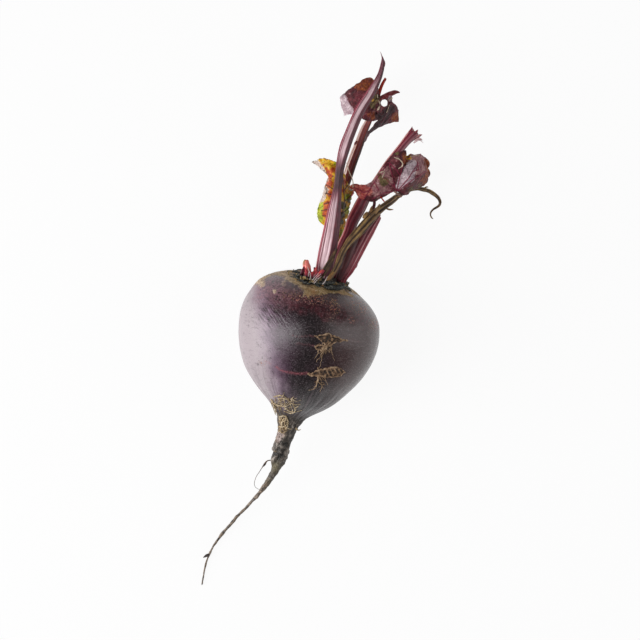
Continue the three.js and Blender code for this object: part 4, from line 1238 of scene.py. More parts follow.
        "sheets": [
            {
                "rows": [
                    [(15.5, 45.5, 32.5), (16, 45.5, 32), (16.5, 45.5, 31.5)],
                    [(13.6, 52, 36), (15.8, 52.5, 34), (18.8, 53.5, 30)],
                    [(5.6, 57.8, 37), (12.5, 59, 39.5), (20.4, 59, 28)],
                    [(4.8, 63, 36), (12.5, 65.5, 41), (21.8, 66, 26)],
                    [(7.6, 72, 37), (13, 72.5, 42), (23.6, 72.5, 23)],
                    [(9.4, 77.6, 39), (13.5, 78.5, 43), (20.6, 78, 27)],
                    [(10, 81.5, 41), (14, 83, 44), (18.5, 82.5, 36)],
                    [(2, 88.5, 36), (8, 90, 42), (14.5, 88, 44.5)],
                ],
                "across": 110, "along": 160, "crumple": 1.2, "size": 5.5, "ragged": 0.15, "seed": 17,
            },
        ],
        "twigs": [
            ([(8.8, 75.6, 40.4, 0.2), (9.6, 73.6, 41.4, 0.5), (9, 71.4, 40.6, 0.3)], 0.5, -0.3),
            ([(23.4, 74.4, 26, 0.3), (22, 71.6, 28, 0.5), (20.6, 69, 29, 0.4),
              (19.4, 66.4, 30, 0.2)], 0.6, -0.1),
        ],
        "pale": [
            (2.2, 88.0, 2.4, 1.8), (4.4, 85.4, 2.5, 1.8), (6.6, 82.4, 2.3, 1.8), (8.4, 79.2, 1.9, 1.5),
            (8.2, 73.6, 2.2, 1.4), (6.8, 69.8, 2.1, 1.5), (22.4, 75, 1.4, 0.9),
        ],
        "rust": [
            (11, 77, 2.6, 1.0), (10, 66.2, 2.2, 0.9), (9.6, 61.6, 2.6, 1.0), (13, 84, 2.0, 0.8),
            (18.4, 78.4, 2.4, 0.8), (18.4, 73.6, 1.8, 0.7), (8, 86.6, 0.8, 0.9), (6.6, 90.8, 1.2, 0.9),
            (10.2, 83, 0.9, 1.1), (11.6, 71.4, 2.2, 0.9), (9.4, 84.8, 0.8, 1.0), (11.4, 80.8, 1.2, 1.0),
        ],
        "olive": [
            (18, 66, 1.9, 1.4), (18, 61, 1.6, 1.2), (17.4, 57.4, 1.4, 1.1), (21.6, 68.6, 1.4, 0.9),
            (12.4, 80.6, 1.0, 0.8), (19.6, 55, 1.0, 0.8),
        ],
        "lime": [
            (5.4, 61.4, 2.3, 1.5), (6.2, 66, 2.2, 1.3), (20.8, 70.4, 2.2, 1.2), (20.6, 63.4, 2.0, 1.3),
            (17.6, 51.4, 2.6, 1.0), (14.4, 87, 1.4, 0.8), (6.4, 58.4, 1.6, 1.0),
        ],
        "veins": [
            [(15, 47), (17, 58), (19, 68), (18, 80)], [(19, 68), (24, 73)], [(18, 62), (21.6, 65)],
            [(13, 60), (7.4, 60.4)], [(12.6, 64), (7, 63)], [(13, 67.4), (8.4, 66.4)],
            [(13, 74), (9.4, 76.6)], [(19, 74), (21, 77)], [(12.6, 71), (9, 72)],
        ],
    },
}


def makeLeaf(name, leaf):
    parts = [sheet(name + str(i), **each) for i, each in enumerate(leaf["sheets"])]
    for stations, depth, redness in leaf["twigs"]:
        twig = limb("twig", stations, depth=depth, **leafForm["twig"])
        parts.append(dressedWith(twig, red=redness))
    piece = joinPieces(name, parts)
    points = pointsOf(piece) / mm
    for mask in ("pale", "rust", "olive", "coral", "fleshAndHighlight", "gold", "lime", "deep"):
        paint(piece, mask, np.clip(blots(points, leaf.get(mask, [])), 0, 1))
    vein = np.max([nearLine(points, line, leafForm["veinWidth"]) for line in leaf["veins"]], axis=0)
    paint(piece, "vein", vein * leaf.get("veinShare", 1.0))
    raisePoints(piece, leafForm["veinHeight"] * vein)
    selectOnly(piece)
    bpy.ops.object.shade_smooth()
    return piece


def veinNet(shader, size):  # 1 on a fine net of veins
    vector = shader.add("ShaderNodeVectorMath", {"operation": 'ADD'}, {
        0: shader.place.scaled(1 / (size * mm)), 1: shader.add("ShaderNodeTexNoise", {}, {
            "Vector": shader.place, "Scale": 0.6 / mm, "Detail": 2.0}, "Color").scaled(0.8)})
    cells = shader.add("ShaderNodeTexVoronoi", {"feature": 'DISTANCE_TO_EDGE'}, {
        "Vector": vector, "Scale": 1.0})
    return 1 - cells.above(0.02, 0.12)


def patched(shader, base, tone, wander, edge, finishes):  # each mask brings its own three colours
    for mask, (low, middle, high) in finishes.items():
        other = shader.ramp(tone, (0.32, low), (0.5, middle), (0.68, high))
        base = shader.mix((shader.painted(mask) + wander).above(0.35, edge), base, other)
    return base


def leafMaterial():
    shader = Shader("driedLeaf")
    cloud = shader.noise(3.5, 4)
    grain = shader.noise(0.9, 4, 0.65)
    net = veinNet(shader, 1.9)
    tone = cloud * 0.55 + grain * 0.45
    base = shader.ramp(tone, (0.32, "#240b10"), (0.45, "#4a1a20"), (0.56, "#6e2c34"), (0.7, "#a46468"))
    wander = (cloud - 0.5) * 0.8 + (grain - 0.5) * 0.5
    base = patched(shader, base, tone, wander, 0.65, {
        # real pink flesh colours, which in some spots are painted highlights
        "fleshAndHighlight": ("#64343c", "#a06c70", "#cca49c"),
        "coral": ("#84282c", "#bc5650", "#dc9c8c"), "rust": ("#40140a", "#80381a", "#b4682e"),
        "olive": ("#2a2414", "#645634", "#968258"), "pale": ("#8c6c78", "#bfa8b0", "#eadde0"),
        "gold": ("#8a5a10", "#c8902a", "#e0b850"), "deep": ("#140608", "#30141a", "#54262c"),
    })
    base = shader.mix(net * 0.35, base, "#581c2a")
    base = shader.mix(shader.painted("vein").above(0.25, 0.7) * 0.8, base, "#80203c")
    red = shader.painted("red")
    base = shader.mix(red.above(0.3, 0.9), base, "#a42c1c")
    base = shader.mix((red * -1).above(0.3, 0.9), base, "#cdbba4")
    relief = shader.bump(grain + net * 0.5 + shader.painted("vein"), 0.35, 0.8)
    return shader.finish(base, 0.5 + grain * 0.25, relief, IOR=1.38)


def yellowMaterial():
    shader = Shader("yellowLeaf")
    cloud = shader.noise(2.4, 4)
    grain = shader.noise(0.8, 4, 0.65)
    net = veinNet(shader, 1.6)
    tone = cloud * 0.5 + grain * 0.5
    base = shader.ramp(tone, (0.32, "#7a4408"), (0.43, "#c0820c"), (0.54, "#dcb01c"), (0.68, "#e4d650"))
    wander = (cloud - 0.5) * 0.9 + (grain - 0.5) * 1.1
    base = patched(shader, base, tone, wander, 0.6, {
        "lime": ("#54640c", "#a4ac20", "#dce058"), "olive": ("#1c160c", "#44401c", "#80803a"),
        "rust": ("#501208", "#ac3c10", "#e07c24"), "pale": ("#8a6c60", "#c8b4a8", "#f0e6dc"),
    })
    base = shader.mix(net * grain.above(0.45, 0.6) * 0.4, base, "#6a2c0c")
    base = shader.mix(shader.painted("vein").above(0.3, 0.7) * 0.8, base, "#38180e")
    spots = shader.noise(1.1, 2, 0.5, shift=3.0).above(0.62, 0.67)
    base = shader.mix(spots * 0.85, base, "#2c180a")
    red = shader.painted("red")
    bare = shader.mix(grain.above(0.4, 0.6), "#5c4636", "#b49c88")
    base = shader.mix((red * -1).above(0.0, 0.6), base, bare)
    relief = shader.bump(grain + cloud + net * 0.2, 0.3, 0.8)
    return shader.finish(base, 0.5, relief, IOR=1.38)


leafFinish, yellowFinish = leafMaterial(), yellowMaterial()
for name, leaf in leaves.items():
    isYellow = name == "yellowLeaf"
    finish, slot = (yellowFinish, "yellow_leaf") if isYellow else (leafFinish, "leaf")
    dress(makeLeaf(name, leaf), finish, slot, leaf["node"])
print("leaves made")


# The crown: a dark rough cap, a thick fringe of dead leaf bases, curled lumps and fibres

crown = {
    "capSides": 72, "radius": 17.0, "frontTurn": 0.5, "frontReach": 0.26, "rightLoss": 0.2, "leftDrop": 2.2,
    "capProfile": [  # radius and height over the crown's plane
        (0.2, -5.0), (15.5, -4.5), (17, -1.5), (16, 0.6), (13, 1.7), (8.5, 2.5), (0.3, 2.7),
    ],
    "rings": [  # how many bases, their radius, lean outward in degrees, length and width
        (30, 16.4, 96, 0.38, 0.7), (24, 14.2, 84, 0.42, 0.75), (18, 11.5, 70, 0.5, 0.7),
        (10, 8, 45, 0.5, 0.7),
    ],
    "base": [(0, -1.2, -0.2, 1.5), (0, 0, 0, 1.9), (0, 2, 0.5, 2.0), (0, 4, 1.3, 1.4), (0, 5.4, 2.6, 0.5)],
    "baseForm": {"sides": 10, "spacing": 1.0, "depth": 0.34, "tear": 0.6}, "baseRibs": 0.16,
    "bareSide": -0.55,  # where the cosine of a turn is less, only the outermost ring has bases
    "seed": 4, "curlShade": 1.0, "rough": 0.45, "curlRough": 0.08,
    # the dry strips along the rim and the loose fibres: how many, and the least and most of each size
    "wraps": 44, "wrapRadius": (11.5, 16.8), "wrapSpan": (0.3, 0.8), "wrapThickness": (0.45, 1.0),
    "wrapHeight": (-0.6, 1.8), "wrapDepth": (0.5, 0.9), "wrapForm": {"sides": 8, "spacing": 1.1},
    "hairs": 260, "hairRadius": (6, 17), "hairLength": (2, 5), "hairThickness": (0.07, 0.16),
    "curlForm": {"sides": 12, "spacing": 0.8}, "curlSteps": 9, "curlTurn": 36,
    "curls": [  # place and lift of its middle, radius of the curl, thickness, turn at which it opens
        ((-9, 30.2, 1.6), 1.5, 0.42, 20), ((-5.8, 29.2, 2.0), 1.3, 0.42, 200),
        ((-3.0, 30.8, 2.0), 1.2, 0.4, 80), ((-2.6, 28.0, 2.4), 1.3, 0.42, 140),
        ((-6.6, 26.9, 1.4), 0.8, 0.3, 260), ((20.6, 22.2, 0.6), 1.0, 0.5, 300),
    ],
    "sheathForm": {"sides": 12, "spacing": 0.7, "depth": 0.8, "tear": 0.6},
    "sheathsAndShade": [  # dark folds that lie on the skin at the left, kept dark as painted shade in the gap under the left shoot: place, lift and radius
        [(-10.4, 31.2, 0.1, 0.4), (-8.4, 31.4, 0.5, 0.6), (-6, 31, 0.8, 0.7), (-3.6, 30.4, 0.8, 0.5)],
        [(-9.6, 28.7, 0.1, 0.3), (-7.4, 28.3, 0.3, 0.5), (-5, 27.8, 0.4, 0.6), (-2.6, 27.2, 0.4, 0.5)],
        [(-6.2, 26.8, 0.1, 0.3), (-3.6, 26.2, 0.4, 0.7), (-1, 25.4, 0.6, 0.8), (1.4, 24.4, 0.5, 0.4)],
        [(-2, 28.6, 1.4, 0.5), (-0.6, 27.4, 1.8, 0.8), (1, 26.4, 1.6, 0.4)],
    ],
    "rollForm": {"sides": 12, "spacing": 0.8, "depth": 0.75},
    "rolls": [  # dry sheaths that lie along the front of the rim
        [(8.5, 23.4, 58.0, 0.6), (11.5, 22.9, 58.4, 1.3), (15, 22.8, 57.4, 1.4), (18.5, 23, 55.4, 0.7)],
        [(-3, 25.8, 54.0, 0.5), (0, 24.8, 55.6, 1.2), (3.5, 23.9, 57.4, 1.3), (6.5, 22.8, 58.6, 0.7)],
        [(3, 26, 56.5, 0.5), (6.5, 25.2, 58.0, 1.0), (10.5, 25.2, 58.0, 1.0), (14, 25.4, 56.4, 0.5)],
        [(15.8, 24.2, 54.9, 0.5), (19.2, 23.3, 52.7, 0.8), (21.2, 22.2, 50.4, 0.6), (22.6, 20.8, 48, 0.3)],
        [(-4.6, 27.6, 52.4, 0.4), (-2, 27, 54.2, 1.0), (1, 26.6, 55.4, 0.9), (3, 25.4, 56.6, 0.4)],
    ],
    "silverStep": 0.8, "silverThickness": 0.26,
    "silver": [  # pale torn fibres
        [(2.4, 25.4, 58.6), (4, 27.2, 59.2), (6.6, 29.8, 58.4)],
        [(3.2, 25, 58.8), (5, 27, 59.4), (7, 28.8, 58.8)],
        [(2, 26.2, 58.2), (3.6, 28.2, 58.8), (5.6, 30.2, 58)],
        [(7.6, 24.6, 59.4), (8.8, 26, 59.8), (10, 28.6, 59)],
        [(0.2, 28.6, 55.4), (0.6, 31, 55), (0, 33.4, 54)], [(1, 26.8, 57), (1.4, 29, 57), (0.8, 31.4, 56)],
    ],
}
upward = sideways.cross(outward)


def onCrown(turn, radius, height=0.0):
    rim = (radius / crown["radius"]) ** 2
    front = crown["frontReach"] * max(math.sin(turn - crown["frontTurn"]), 0)
    right = crown["rightLoss"] * max(math.cos(turn), 0)
    reach = radius * (1 + rim * (front - right))
    height -= crown["leftDrop"] * max(-math.cos(turn), 0) ** 2 * (radius / crown["radius"]) ** 2
    across = sideways * (reach * math.cos(turn)) + upward * (reach * math.sin(turn))
    return crownCentre + across + outward * height


def makeCap():
    bpy.ops.object.select_all(action='DESELECT')
    rings = crown["capProfile"]
    bpy.ops.mesh.primitive_circle_add(
        vertices=crown["capSides"], radius=rings[0][0] * mm, fill_type='NGON',
        location=(0, 0, rings[0][1] * mm))
    bpy.ops.object.transform_apply(location=True)
    cap = bpy.context.object
    bpy.ops.object.mode_set(mode='EDIT')
    bpy.ops.mesh.select_all(action='SELECT')
    for before, ring in zip(rings[:-1], rings[1:]):
        bpy.ops.mesh.extrude_region_move(
            TRANSFORM_OT_translate={"value": (0, 0, (ring[1] - before[1]) * mm)})
        grow = ring[0] / before[0]
        bpy.ops.transform.resize(value=(grow, grow, 1), center_override=(0, 0, ring[1] * mm))
    bpy.ops.object.mode_set(mode='OBJECT')
    subdivide(cap, 2)
    points = pointsOf(cap) / mm
    turns, radii = np.arctan2(points[:, 1], points[:, 0]), np.hypot(points[:, 0], points[:, 1])
    placed = np.array([onCrown(t, r, h) for t, r, h in zip(turns, radii, points[:, 2])])
    movePoints(cap, placed * mm)
    faceOutward(cap)
    raisePoints(cap, 0.8 * lumps(placed, 2.6, 4, 21) + 0.5 * np.abs(lumps(placed, 5.0, 2, 22)) - 0.3)
    return dressedWith(cap, shade=0.15)


def makeBase():  # one dead leaf base, to be copied: it grows along Y and curls over in Z
    def section(around, along):
        return 1 + crown["baseRibs"] * np.cos(5 * around)

    return limb("leafBase", crown["base"], ribs=section, **crown["baseForm"])


def makeCurl(middle, radius, thick, opening):
    middle = onSkin(*middle)
    stations = []
    last = crown["curlSteps"] - 1
    for step in range(crown["curlSteps"]):
        turn = math.radians(opening + crown["curlTurn"] * step)
        size = radius * (1 - 0.05 * step)
        stations.append((
            middle[0] + size * math.cos(turn), middle[1] + size * math.sin(turn),
            middle[2] + 0.12 * step, thick * (1 if 0 < step < last else 0.5)))
    return limb("curl", stations, **crown["curlForm"])


def copyOnto(template, origin, along, over, size, stretch):
    selectOnly(template)
    bpy.ops.object.duplicate()
    copy = bpy.context.object
    along = along.normalized()
    side = along.cross(over).normalized()
    up = side.cross(along)
    points = pointsOf(copy) / mm
    placed = (
        np.array(origin) + points[:, :1] * size * np.array(side)
        + points[:, 1:2] * size * stretch * np.array(along) + points[:, 2:] * size * np.array(up)
    )
    movePoints(copy, placed * mm)
    return copy


def makeWrap(chance):  # a dry strip that lies along the rim
    turn, radius = chance.uniform(0, math.tau), chance.uniform(*crown["wrapRadius"])
    span = chance.uniform(*crown["wrapSpan"])
    height = chance.uniform(*crown["wrapHeight"])
    thick = chance.uniform(*crown["wrapThickness"])
    stations = []
    for step in range(6):
        share = step / 5
        place = onCrown(
            turn + span * share, radius + chance.uniform(-0.7, 0.7), height + chance.uniform(-0.5, 0.7))
        stations.append((*place, thick * (0.35 + math.sin(math.pi * share))))
    return limb("wrap", stations, depth=chance.uniform(*crown["wrapDepth"]), **crown["wrapForm"])


def makeHair(chance):  # a loose fibre on the crown
    turn, radius = chance.uniform(0, math.tau), chance.uniform(*crown["hairRadius"])
    aim = chance.uniform(-1.2, 1.2)
    length = chance.uniform(*crown["hairLength"])
    line = []
    for step in range(5):
        share = step / 4
        line.append(onCrown(
            turn + aim * length * share / radius, radius + chance.uniform(-0.3, 0.3) + share,
            chance.uniform(0.4, 0.9) + 1.4 * length * share * (1 - share)))
    return line, chance.uniform(*crown["hairThickness"])


def makeBases(chance):  # they stand in rings, and the left side has only the outermost ones
    template = makeBase()
    bases = []
    for count, radius, leaning, length, width in crown["rings"]:
        for i in range(count):
            turn = math.tau * (i + chance.uniform(-0.45, 0.45)) / count
            if math.cos(turn) < crown["bareSide"] and leaning < 90:
                continue
            reach = radius * chance.uniform(0.92, 1.05)
            origin = onCrown(turn, reach, chance.uniform(-0.4, 1.0))
            radial = sideways * math.cos(turn) + upward * math.sin(turn)
            tilt = math.radians(leaning + chance.uniform(-25, 25))
            twist = chance.uniform(-0.8, 0.8)
            tangent = outward.cross(radial)
            along = outward * math.cos(tilt) + (radial + tangent * twist) * math.sin(tilt)
            over = radial * math.cos(tilt) - outward * math.sin(tilt)
            size = width * chance.uniform(0.5, 1.2)
            base = copyOnto(template, origin, along, -over, size, length * chance.uniform(0.7, 1.2))
            bases.append(dressedWith(base, shade=chance.random()))
    bpy.data.objects.remove(template)
    return bases


def makeFolds():  # the curls, sheaths and rolls, each in its own place
    folds = [dressedWith(makeCurl(*curl), shade=crown["curlShade"]) for curl in crown["curls"]]
    for i, sheath in enumerate(crown["sheathsAndShade"]):
        stations = [(*onSkin(x, y, lift), radius) for x, y, lift, radius in sheath]
        fold = limb("sheath", stations, **crown["sheathForm"])
        # the folds get a dark shade value: partly their own dark colour, partly painted shade
        folds.append(dressedWith(fold, shade=0.25 + 0.2 * (i % 2)))
    for i, stations in enumerate(crown["rolls"]):
        roll = limb("roll", stations, **crown["rollForm"])
        folds.append(dressedWith(roll, shade=0.5 if i % 2 else 0.2))
    return folds


def makeCrown():
    chance = random.Random(crown["seed"])
    pieces = [makeCap()] + makeBases(chance)
    for _ in range(crown["wraps"]):
        pieces.append(dressedWith(makeWrap(chance), shade=chance.random()))
    piece = joinPieces("leafBases", pieces + makeFolds())
    faceOutward(piece)
    calm = painted(piece, "shade") == crown["curlShade"]  # the curls keep their shape
    rough = np.where(calm, crown["curlRough"], crown["rough"])
    raisePoints(piece, rough * lumps(pointsOf(piece) / mm, 1.1, 3, 25))
    hairs = fibres("crownHairs", [makeHair(chance) for _ in range(crown["hairs"])])
    dressedWith(hairs, shade=0.75)
    torn = [(smoothThrough(line, crown["silverStep"]), crown["silverThickness"]) for line in crown["silver"]]
    silver = fibres("crownSilver", torn, 0.5)
    dressedWith(silver, shade=2.0)
    piece = joinPieces("leafBases", [piece, hairs, silver])
    bpy.ops.object.shade_smooth()
    return piece


def baseMaterial():
    shader = Shader("deadBases")
    shade = shader.painted("shade")
    grain = shader.noise(1.0, 4, 0.65)
    patch = shader.noise(3.0, 3)
    tone = grain * 0.8 + shade * 0.25 + patch * 0.3
    specksAndGlints = shader.noise(0.8, 2, 0.5, shift=2.0)
    dark = shader.ramp(
        tone, (0.42, "#060705"), (0.62, "#131510"), (0.76, "#34382f"), (0.9, "#74766a"), (1.0, "#b0b09c"))
    # the light specks are painted glints on the glossy dark crown; the dark specks are its dark grain
    dark = shader.mix(specksAndGlints.above(0.58, 0.65) * 0.55, dark, "#8c8c7e")
    dark = shader.mix((1 - specksAndGlints).above(0.56, 0.62) * 0.7, dark, "#060606")
    tan = shader.ramp(tone, (0.3, "#1c140c"), (0.55, "#5c4628"), (0.8, "#a08452"))
    base = shader.mix(shade.above(0.66, 0.8) * patch.above(0.4, 0.5), dark, tan)
    base = shader.mix(shade.above(1.2, 1.6), base, "#c4b6b4")
    relief = shader.bump(grain, 0.7, 1.0)
    return shader.finish(base, 0.3 + grain * 0.35, relief)


dress(makeCrown(), baseMaterial(), "dead_base", "leaf_bases")
print("crown made")


# Young shoots, each a bud with narrower scales at its sides. Each part is (stations, ripeness, depth).

shoots = {
    "leftShoot": {
        "node": "left_shoot", "seed": 1,
        "parts": [
            ([(0.8, 27, 46, 1.2), (0.3, 30.4, 48.5, 1.5), (-0.3, 33.6, 49.6, 1.85), (-0.7, 35.8, 50, 1.45),
              (-0.9, 37.3, 50.2, 1.15)], 0.5, 0.85),
            ([(-1.7, 31, 49.4, 0.4), (-2.1, 34, 50.4, 0.6), (-1.9, 36.2, 50.8, 0.6),
              (-1.2, 37.4, 50.8, 0.35)], 0.68, 0.5),
            ([(-2.6, 26.5, 48, 1.2), (-3.2, 29.5, 50.2, 1.1), (-2.6, 32, 50.8, 0.7),
              (-1.8, 34, 50.4, 0.2)], 0.12, 0.55),
            ([(0, 26, 52, 1.0), (-1, 28.6, 53, 1.1), (-0.8, 31, 52.6, 0.8), (-1.6, 33, 52, 0.2)], 0.3, 0.5),
            ([(3, 26.5, 49, 1.2), (3.4, 29, 51.2, 1.3), (3.8, 31.6, 51.4, 0.9),
              (3.2, 33.6, 51, 0.3)], 0.16, 0.55),
            ([(1.2, 26, 53, 0.9), (1.9, 28.4, 54, 1.1), (2.6, 30.4, 53.6, 0.7),
              (3.4, 31.8, 53, 0.2)], 0.34, 0.5),
        ],
    },
    "middleShoot": {
        "node": "middle_shoot", "seed": 2,
        "parts": [
            ([(3, 25.5, 51, 1.1), (3.6, 29, 52.4, 1.0), (4, 31.4, 52.6, 0.7),
              (4.4, 33.6, 52.6, 0.2)], 0.36, 0.7),
            ([(4.6, 28, 55, 0.4), (5.6, 30.6, 56.4, 0.5), (6.2, 33.4, 56, 0.12)], 0.1, 0.7),
            ([(1.6, 25.5, 50, 0.9), (1.4, 28.5, 52, 0.9), (1.9, 31, 52.6, 0.3)], 0.25, 0.7),
        ],
    },
    "frontShoot": {
        "node": "front_shoot", "seed": 3,
        "parts": [
            ([(3.4, 25.6, 55.4, 0.6), (5, 28.4, 56.8, 0.85), (6.6, 30.8, 57.2, 0.7),
              (7.8, 32.2, 57, 0.3)], 0.36, 0.7),
            ([(5.8, 28.2, 56.6, 0.4), (7.2, 30.2, 57.6, 0.6), (8.6, 31.8, 57.4, 0.3)], 0.22, 0.6),
            ([(2.6, 27.4, 56, 0.4), (3.8, 29.4, 57, 0.5), (5.2, 31.4, 57, 0.2)], 0.24, 0.6),
        ],
    },
}


shootForm = {"ribs": 0.07, "lumps": 0.12, "part": {"sides": 16, "spacing": 0.8, "tear": 0.2}}


def makeShoot(name, shoot):
    pieces = []
    for i, (stations, ripe, depth) in enumerate(shoot["parts"]):
        part = limb(
            name + str(i), stations, depth=depth, **shootForm["part"],
            ribs=lambda around, along: 1 + shootForm["ribs"] * np.cos(5 * around + i),
        )
        along = painted(part, "straight")[:, 1]
        paint(part, "ripe", ripe * (0.3 + 0.95 * rise(along / along.max(), 0.1, 0.7)))
        pieces.append(part)
    piece = joinPieces(name, pieces)
    raisePoints(piece, shootForm["lumps"] * lumps(pointsOf(piece) / mm, 1.8, 3, shoot["seed"]))
    return piece


def shootMaterial():
    shader = Shader("youngShoot")
    straight = shader.paintedPlace("straight")
    streak = shader.noise(0.8, 3, 0.6, straight, (1, 0.15, 1))
    ripe = shader.painted("ripe") + (streak - 0.5) * 0.5
    base = shader.ramp(
        ripe, (0.0, "#2c1018"), (0.2, "#6a1f34"), (0.38, "#b03c48"), (0.55, "#dc5f56"), (0.75, "#e08c7e"),
        (0.95, "#9c7c4c"), (1.15, "#6c5434"))
    return shader.finish(base, 0.35, shader.bump(streak, 0.2, 0.6))


shootFinish = shootMaterial()
for name, shoot in shoots.items():
    dress(makeShoot(name, shoot), shootFinish, "shoot", shoot["node"])
print("shoots made")


# Side roots: corky scars on the skin, with dry threads

def held(line, drop=0.5):  # where a thread leaves the skin it sinks slowly instead of falling to the floor
    for order in (1, -1):
        line, kept = line[::order], []
        for x, y, z in line:
            kept.append((x, y, max(z, kept[-1][2] - drop) if kept else z))
        line = kept[::order]
    clear = min(skinTree.find_nearest(Vector(point) * mm)[3] for point in line) / mm
    return [(x, y, z - max(clear - 0.15, 0)) for x, y, z in line]


def route(points, chance, shake, lift=0.5, step=0.9):  # a thread on the skin through points
    line = smoothThrough(points, step)
    ends = np.linspace(0, 1, len(line))
    shaken = line + np.array([[chance.uniform(-shake, shake) for _ in range(2)] for _ in line])
    return held([onSkin(x, y, lift * (0.3 + math.sin(math.pi * e))) for (x, y), e in zip(shaken, ends)])


def stray(x, y, heading, length, lift, chance, curl, step=0.8):  # a hair that wanders off
    line = []
    for i in range(max(int(length / step), 3)):
        share = i * step / length
        line.append(onSkin(x, y, 0.1 + lift * math.sin(math.pi * min(share, 1) * 0.8)))
        heading += chance.uniform(-curl, curl)
        x, y = x + step * math.cos(heading), y + step * math.sin(heading)
    return held(line)


scarForm = {
    "margin": 0.9, "cell": 0.28, "thickness": 0.5, "jag": 0.56,
    "lip": 0.3, "hollow": 0.3, "cork": 0.4, "sunk": 0.35,  # heights and depths
    "bodyEdge": (0, 0.7), "lipBand": (0.5, 0.36), "hollowEdge": (0.7, 1.5),  # by distance in from its outline
}


def makeScar(name, upper, lower, height, gills=0.0):  # a patch between two lines, with a lip round it
    upper, lower = np.array(upper, float), np.array(lower, float)
    low = np.minimum(upper.min(0), lower.min(0)) - scarForm["margin"]
    high = np.maximum(upper.max(0), lower.max(0)) + scarForm["margin"]
    size, middle = high - low, (high + low) / 2
    bpy.ops.object.select_all(action='DESELECT')
    cells = [int(length / scarForm["cell"]) for length in size]
    bpy.ops.mesh.primitive_grid_add(x_subdivisions=cells[0], y_subdivisions=cells[1], size=1)
    scar = bpy.context.object
    scar.name = name
    points = pointsOf(scar) * [*size, 1] + [*middle, 0]
    x, y = points[:, 0], points[:, 1]
    level = np.stack([x, y, 0 * x], axis=1)
    inside = np.minimum(np.interp(x, *upper.T) - y, y - np.interp(x, *lower.T))
    inside += scarForm["jag"] * lumps(level, 1.6, 3, 31)
    body = rise(inside, *scarForm["bodyEdge"])
    lip = hump(inside, *scarForm["lipBand"])
    hollow = rise(inside, *scarForm["hollowEdge"])
    cork = lumps(level, 1.3, 4, 33)
    slits = (0.5 + 0.5 * np.cos(2.9 * (x + 0.5 * y))) ** 3
    ridges = gills * slits * rise(x, middle[0] - 1.5, middle[0] + 0.5) * hollow
    swell = scarForm["lip"] * lip - scarForm["hollow"] * hollow + scarForm["cork"] * cork
    lift = body * (height + swell + ridges) - scarForm["sunk"] * (1 - body)
    placed = [onSkin(px, py, pl) for px, py, pl in zip(x, y, lift)]
    movePoints(scar, np.array(placed) * mm)
    # raised lips painted lighter and the hollow darker: painted light and shade that follow the height
    paint(scar, "height", 0.5 + 0.3 * lip - 0.35 * hollow + 0.8 * cork * (1 - gills) + 1.5 * ridges)
    applyModifier(scar, 'SOLIDIFY', thickness=scarForm["thickness"] * mm, offset=-1)
    selectOnly(scar)
    bpy.ops.object.shade_smooth()
    return scar


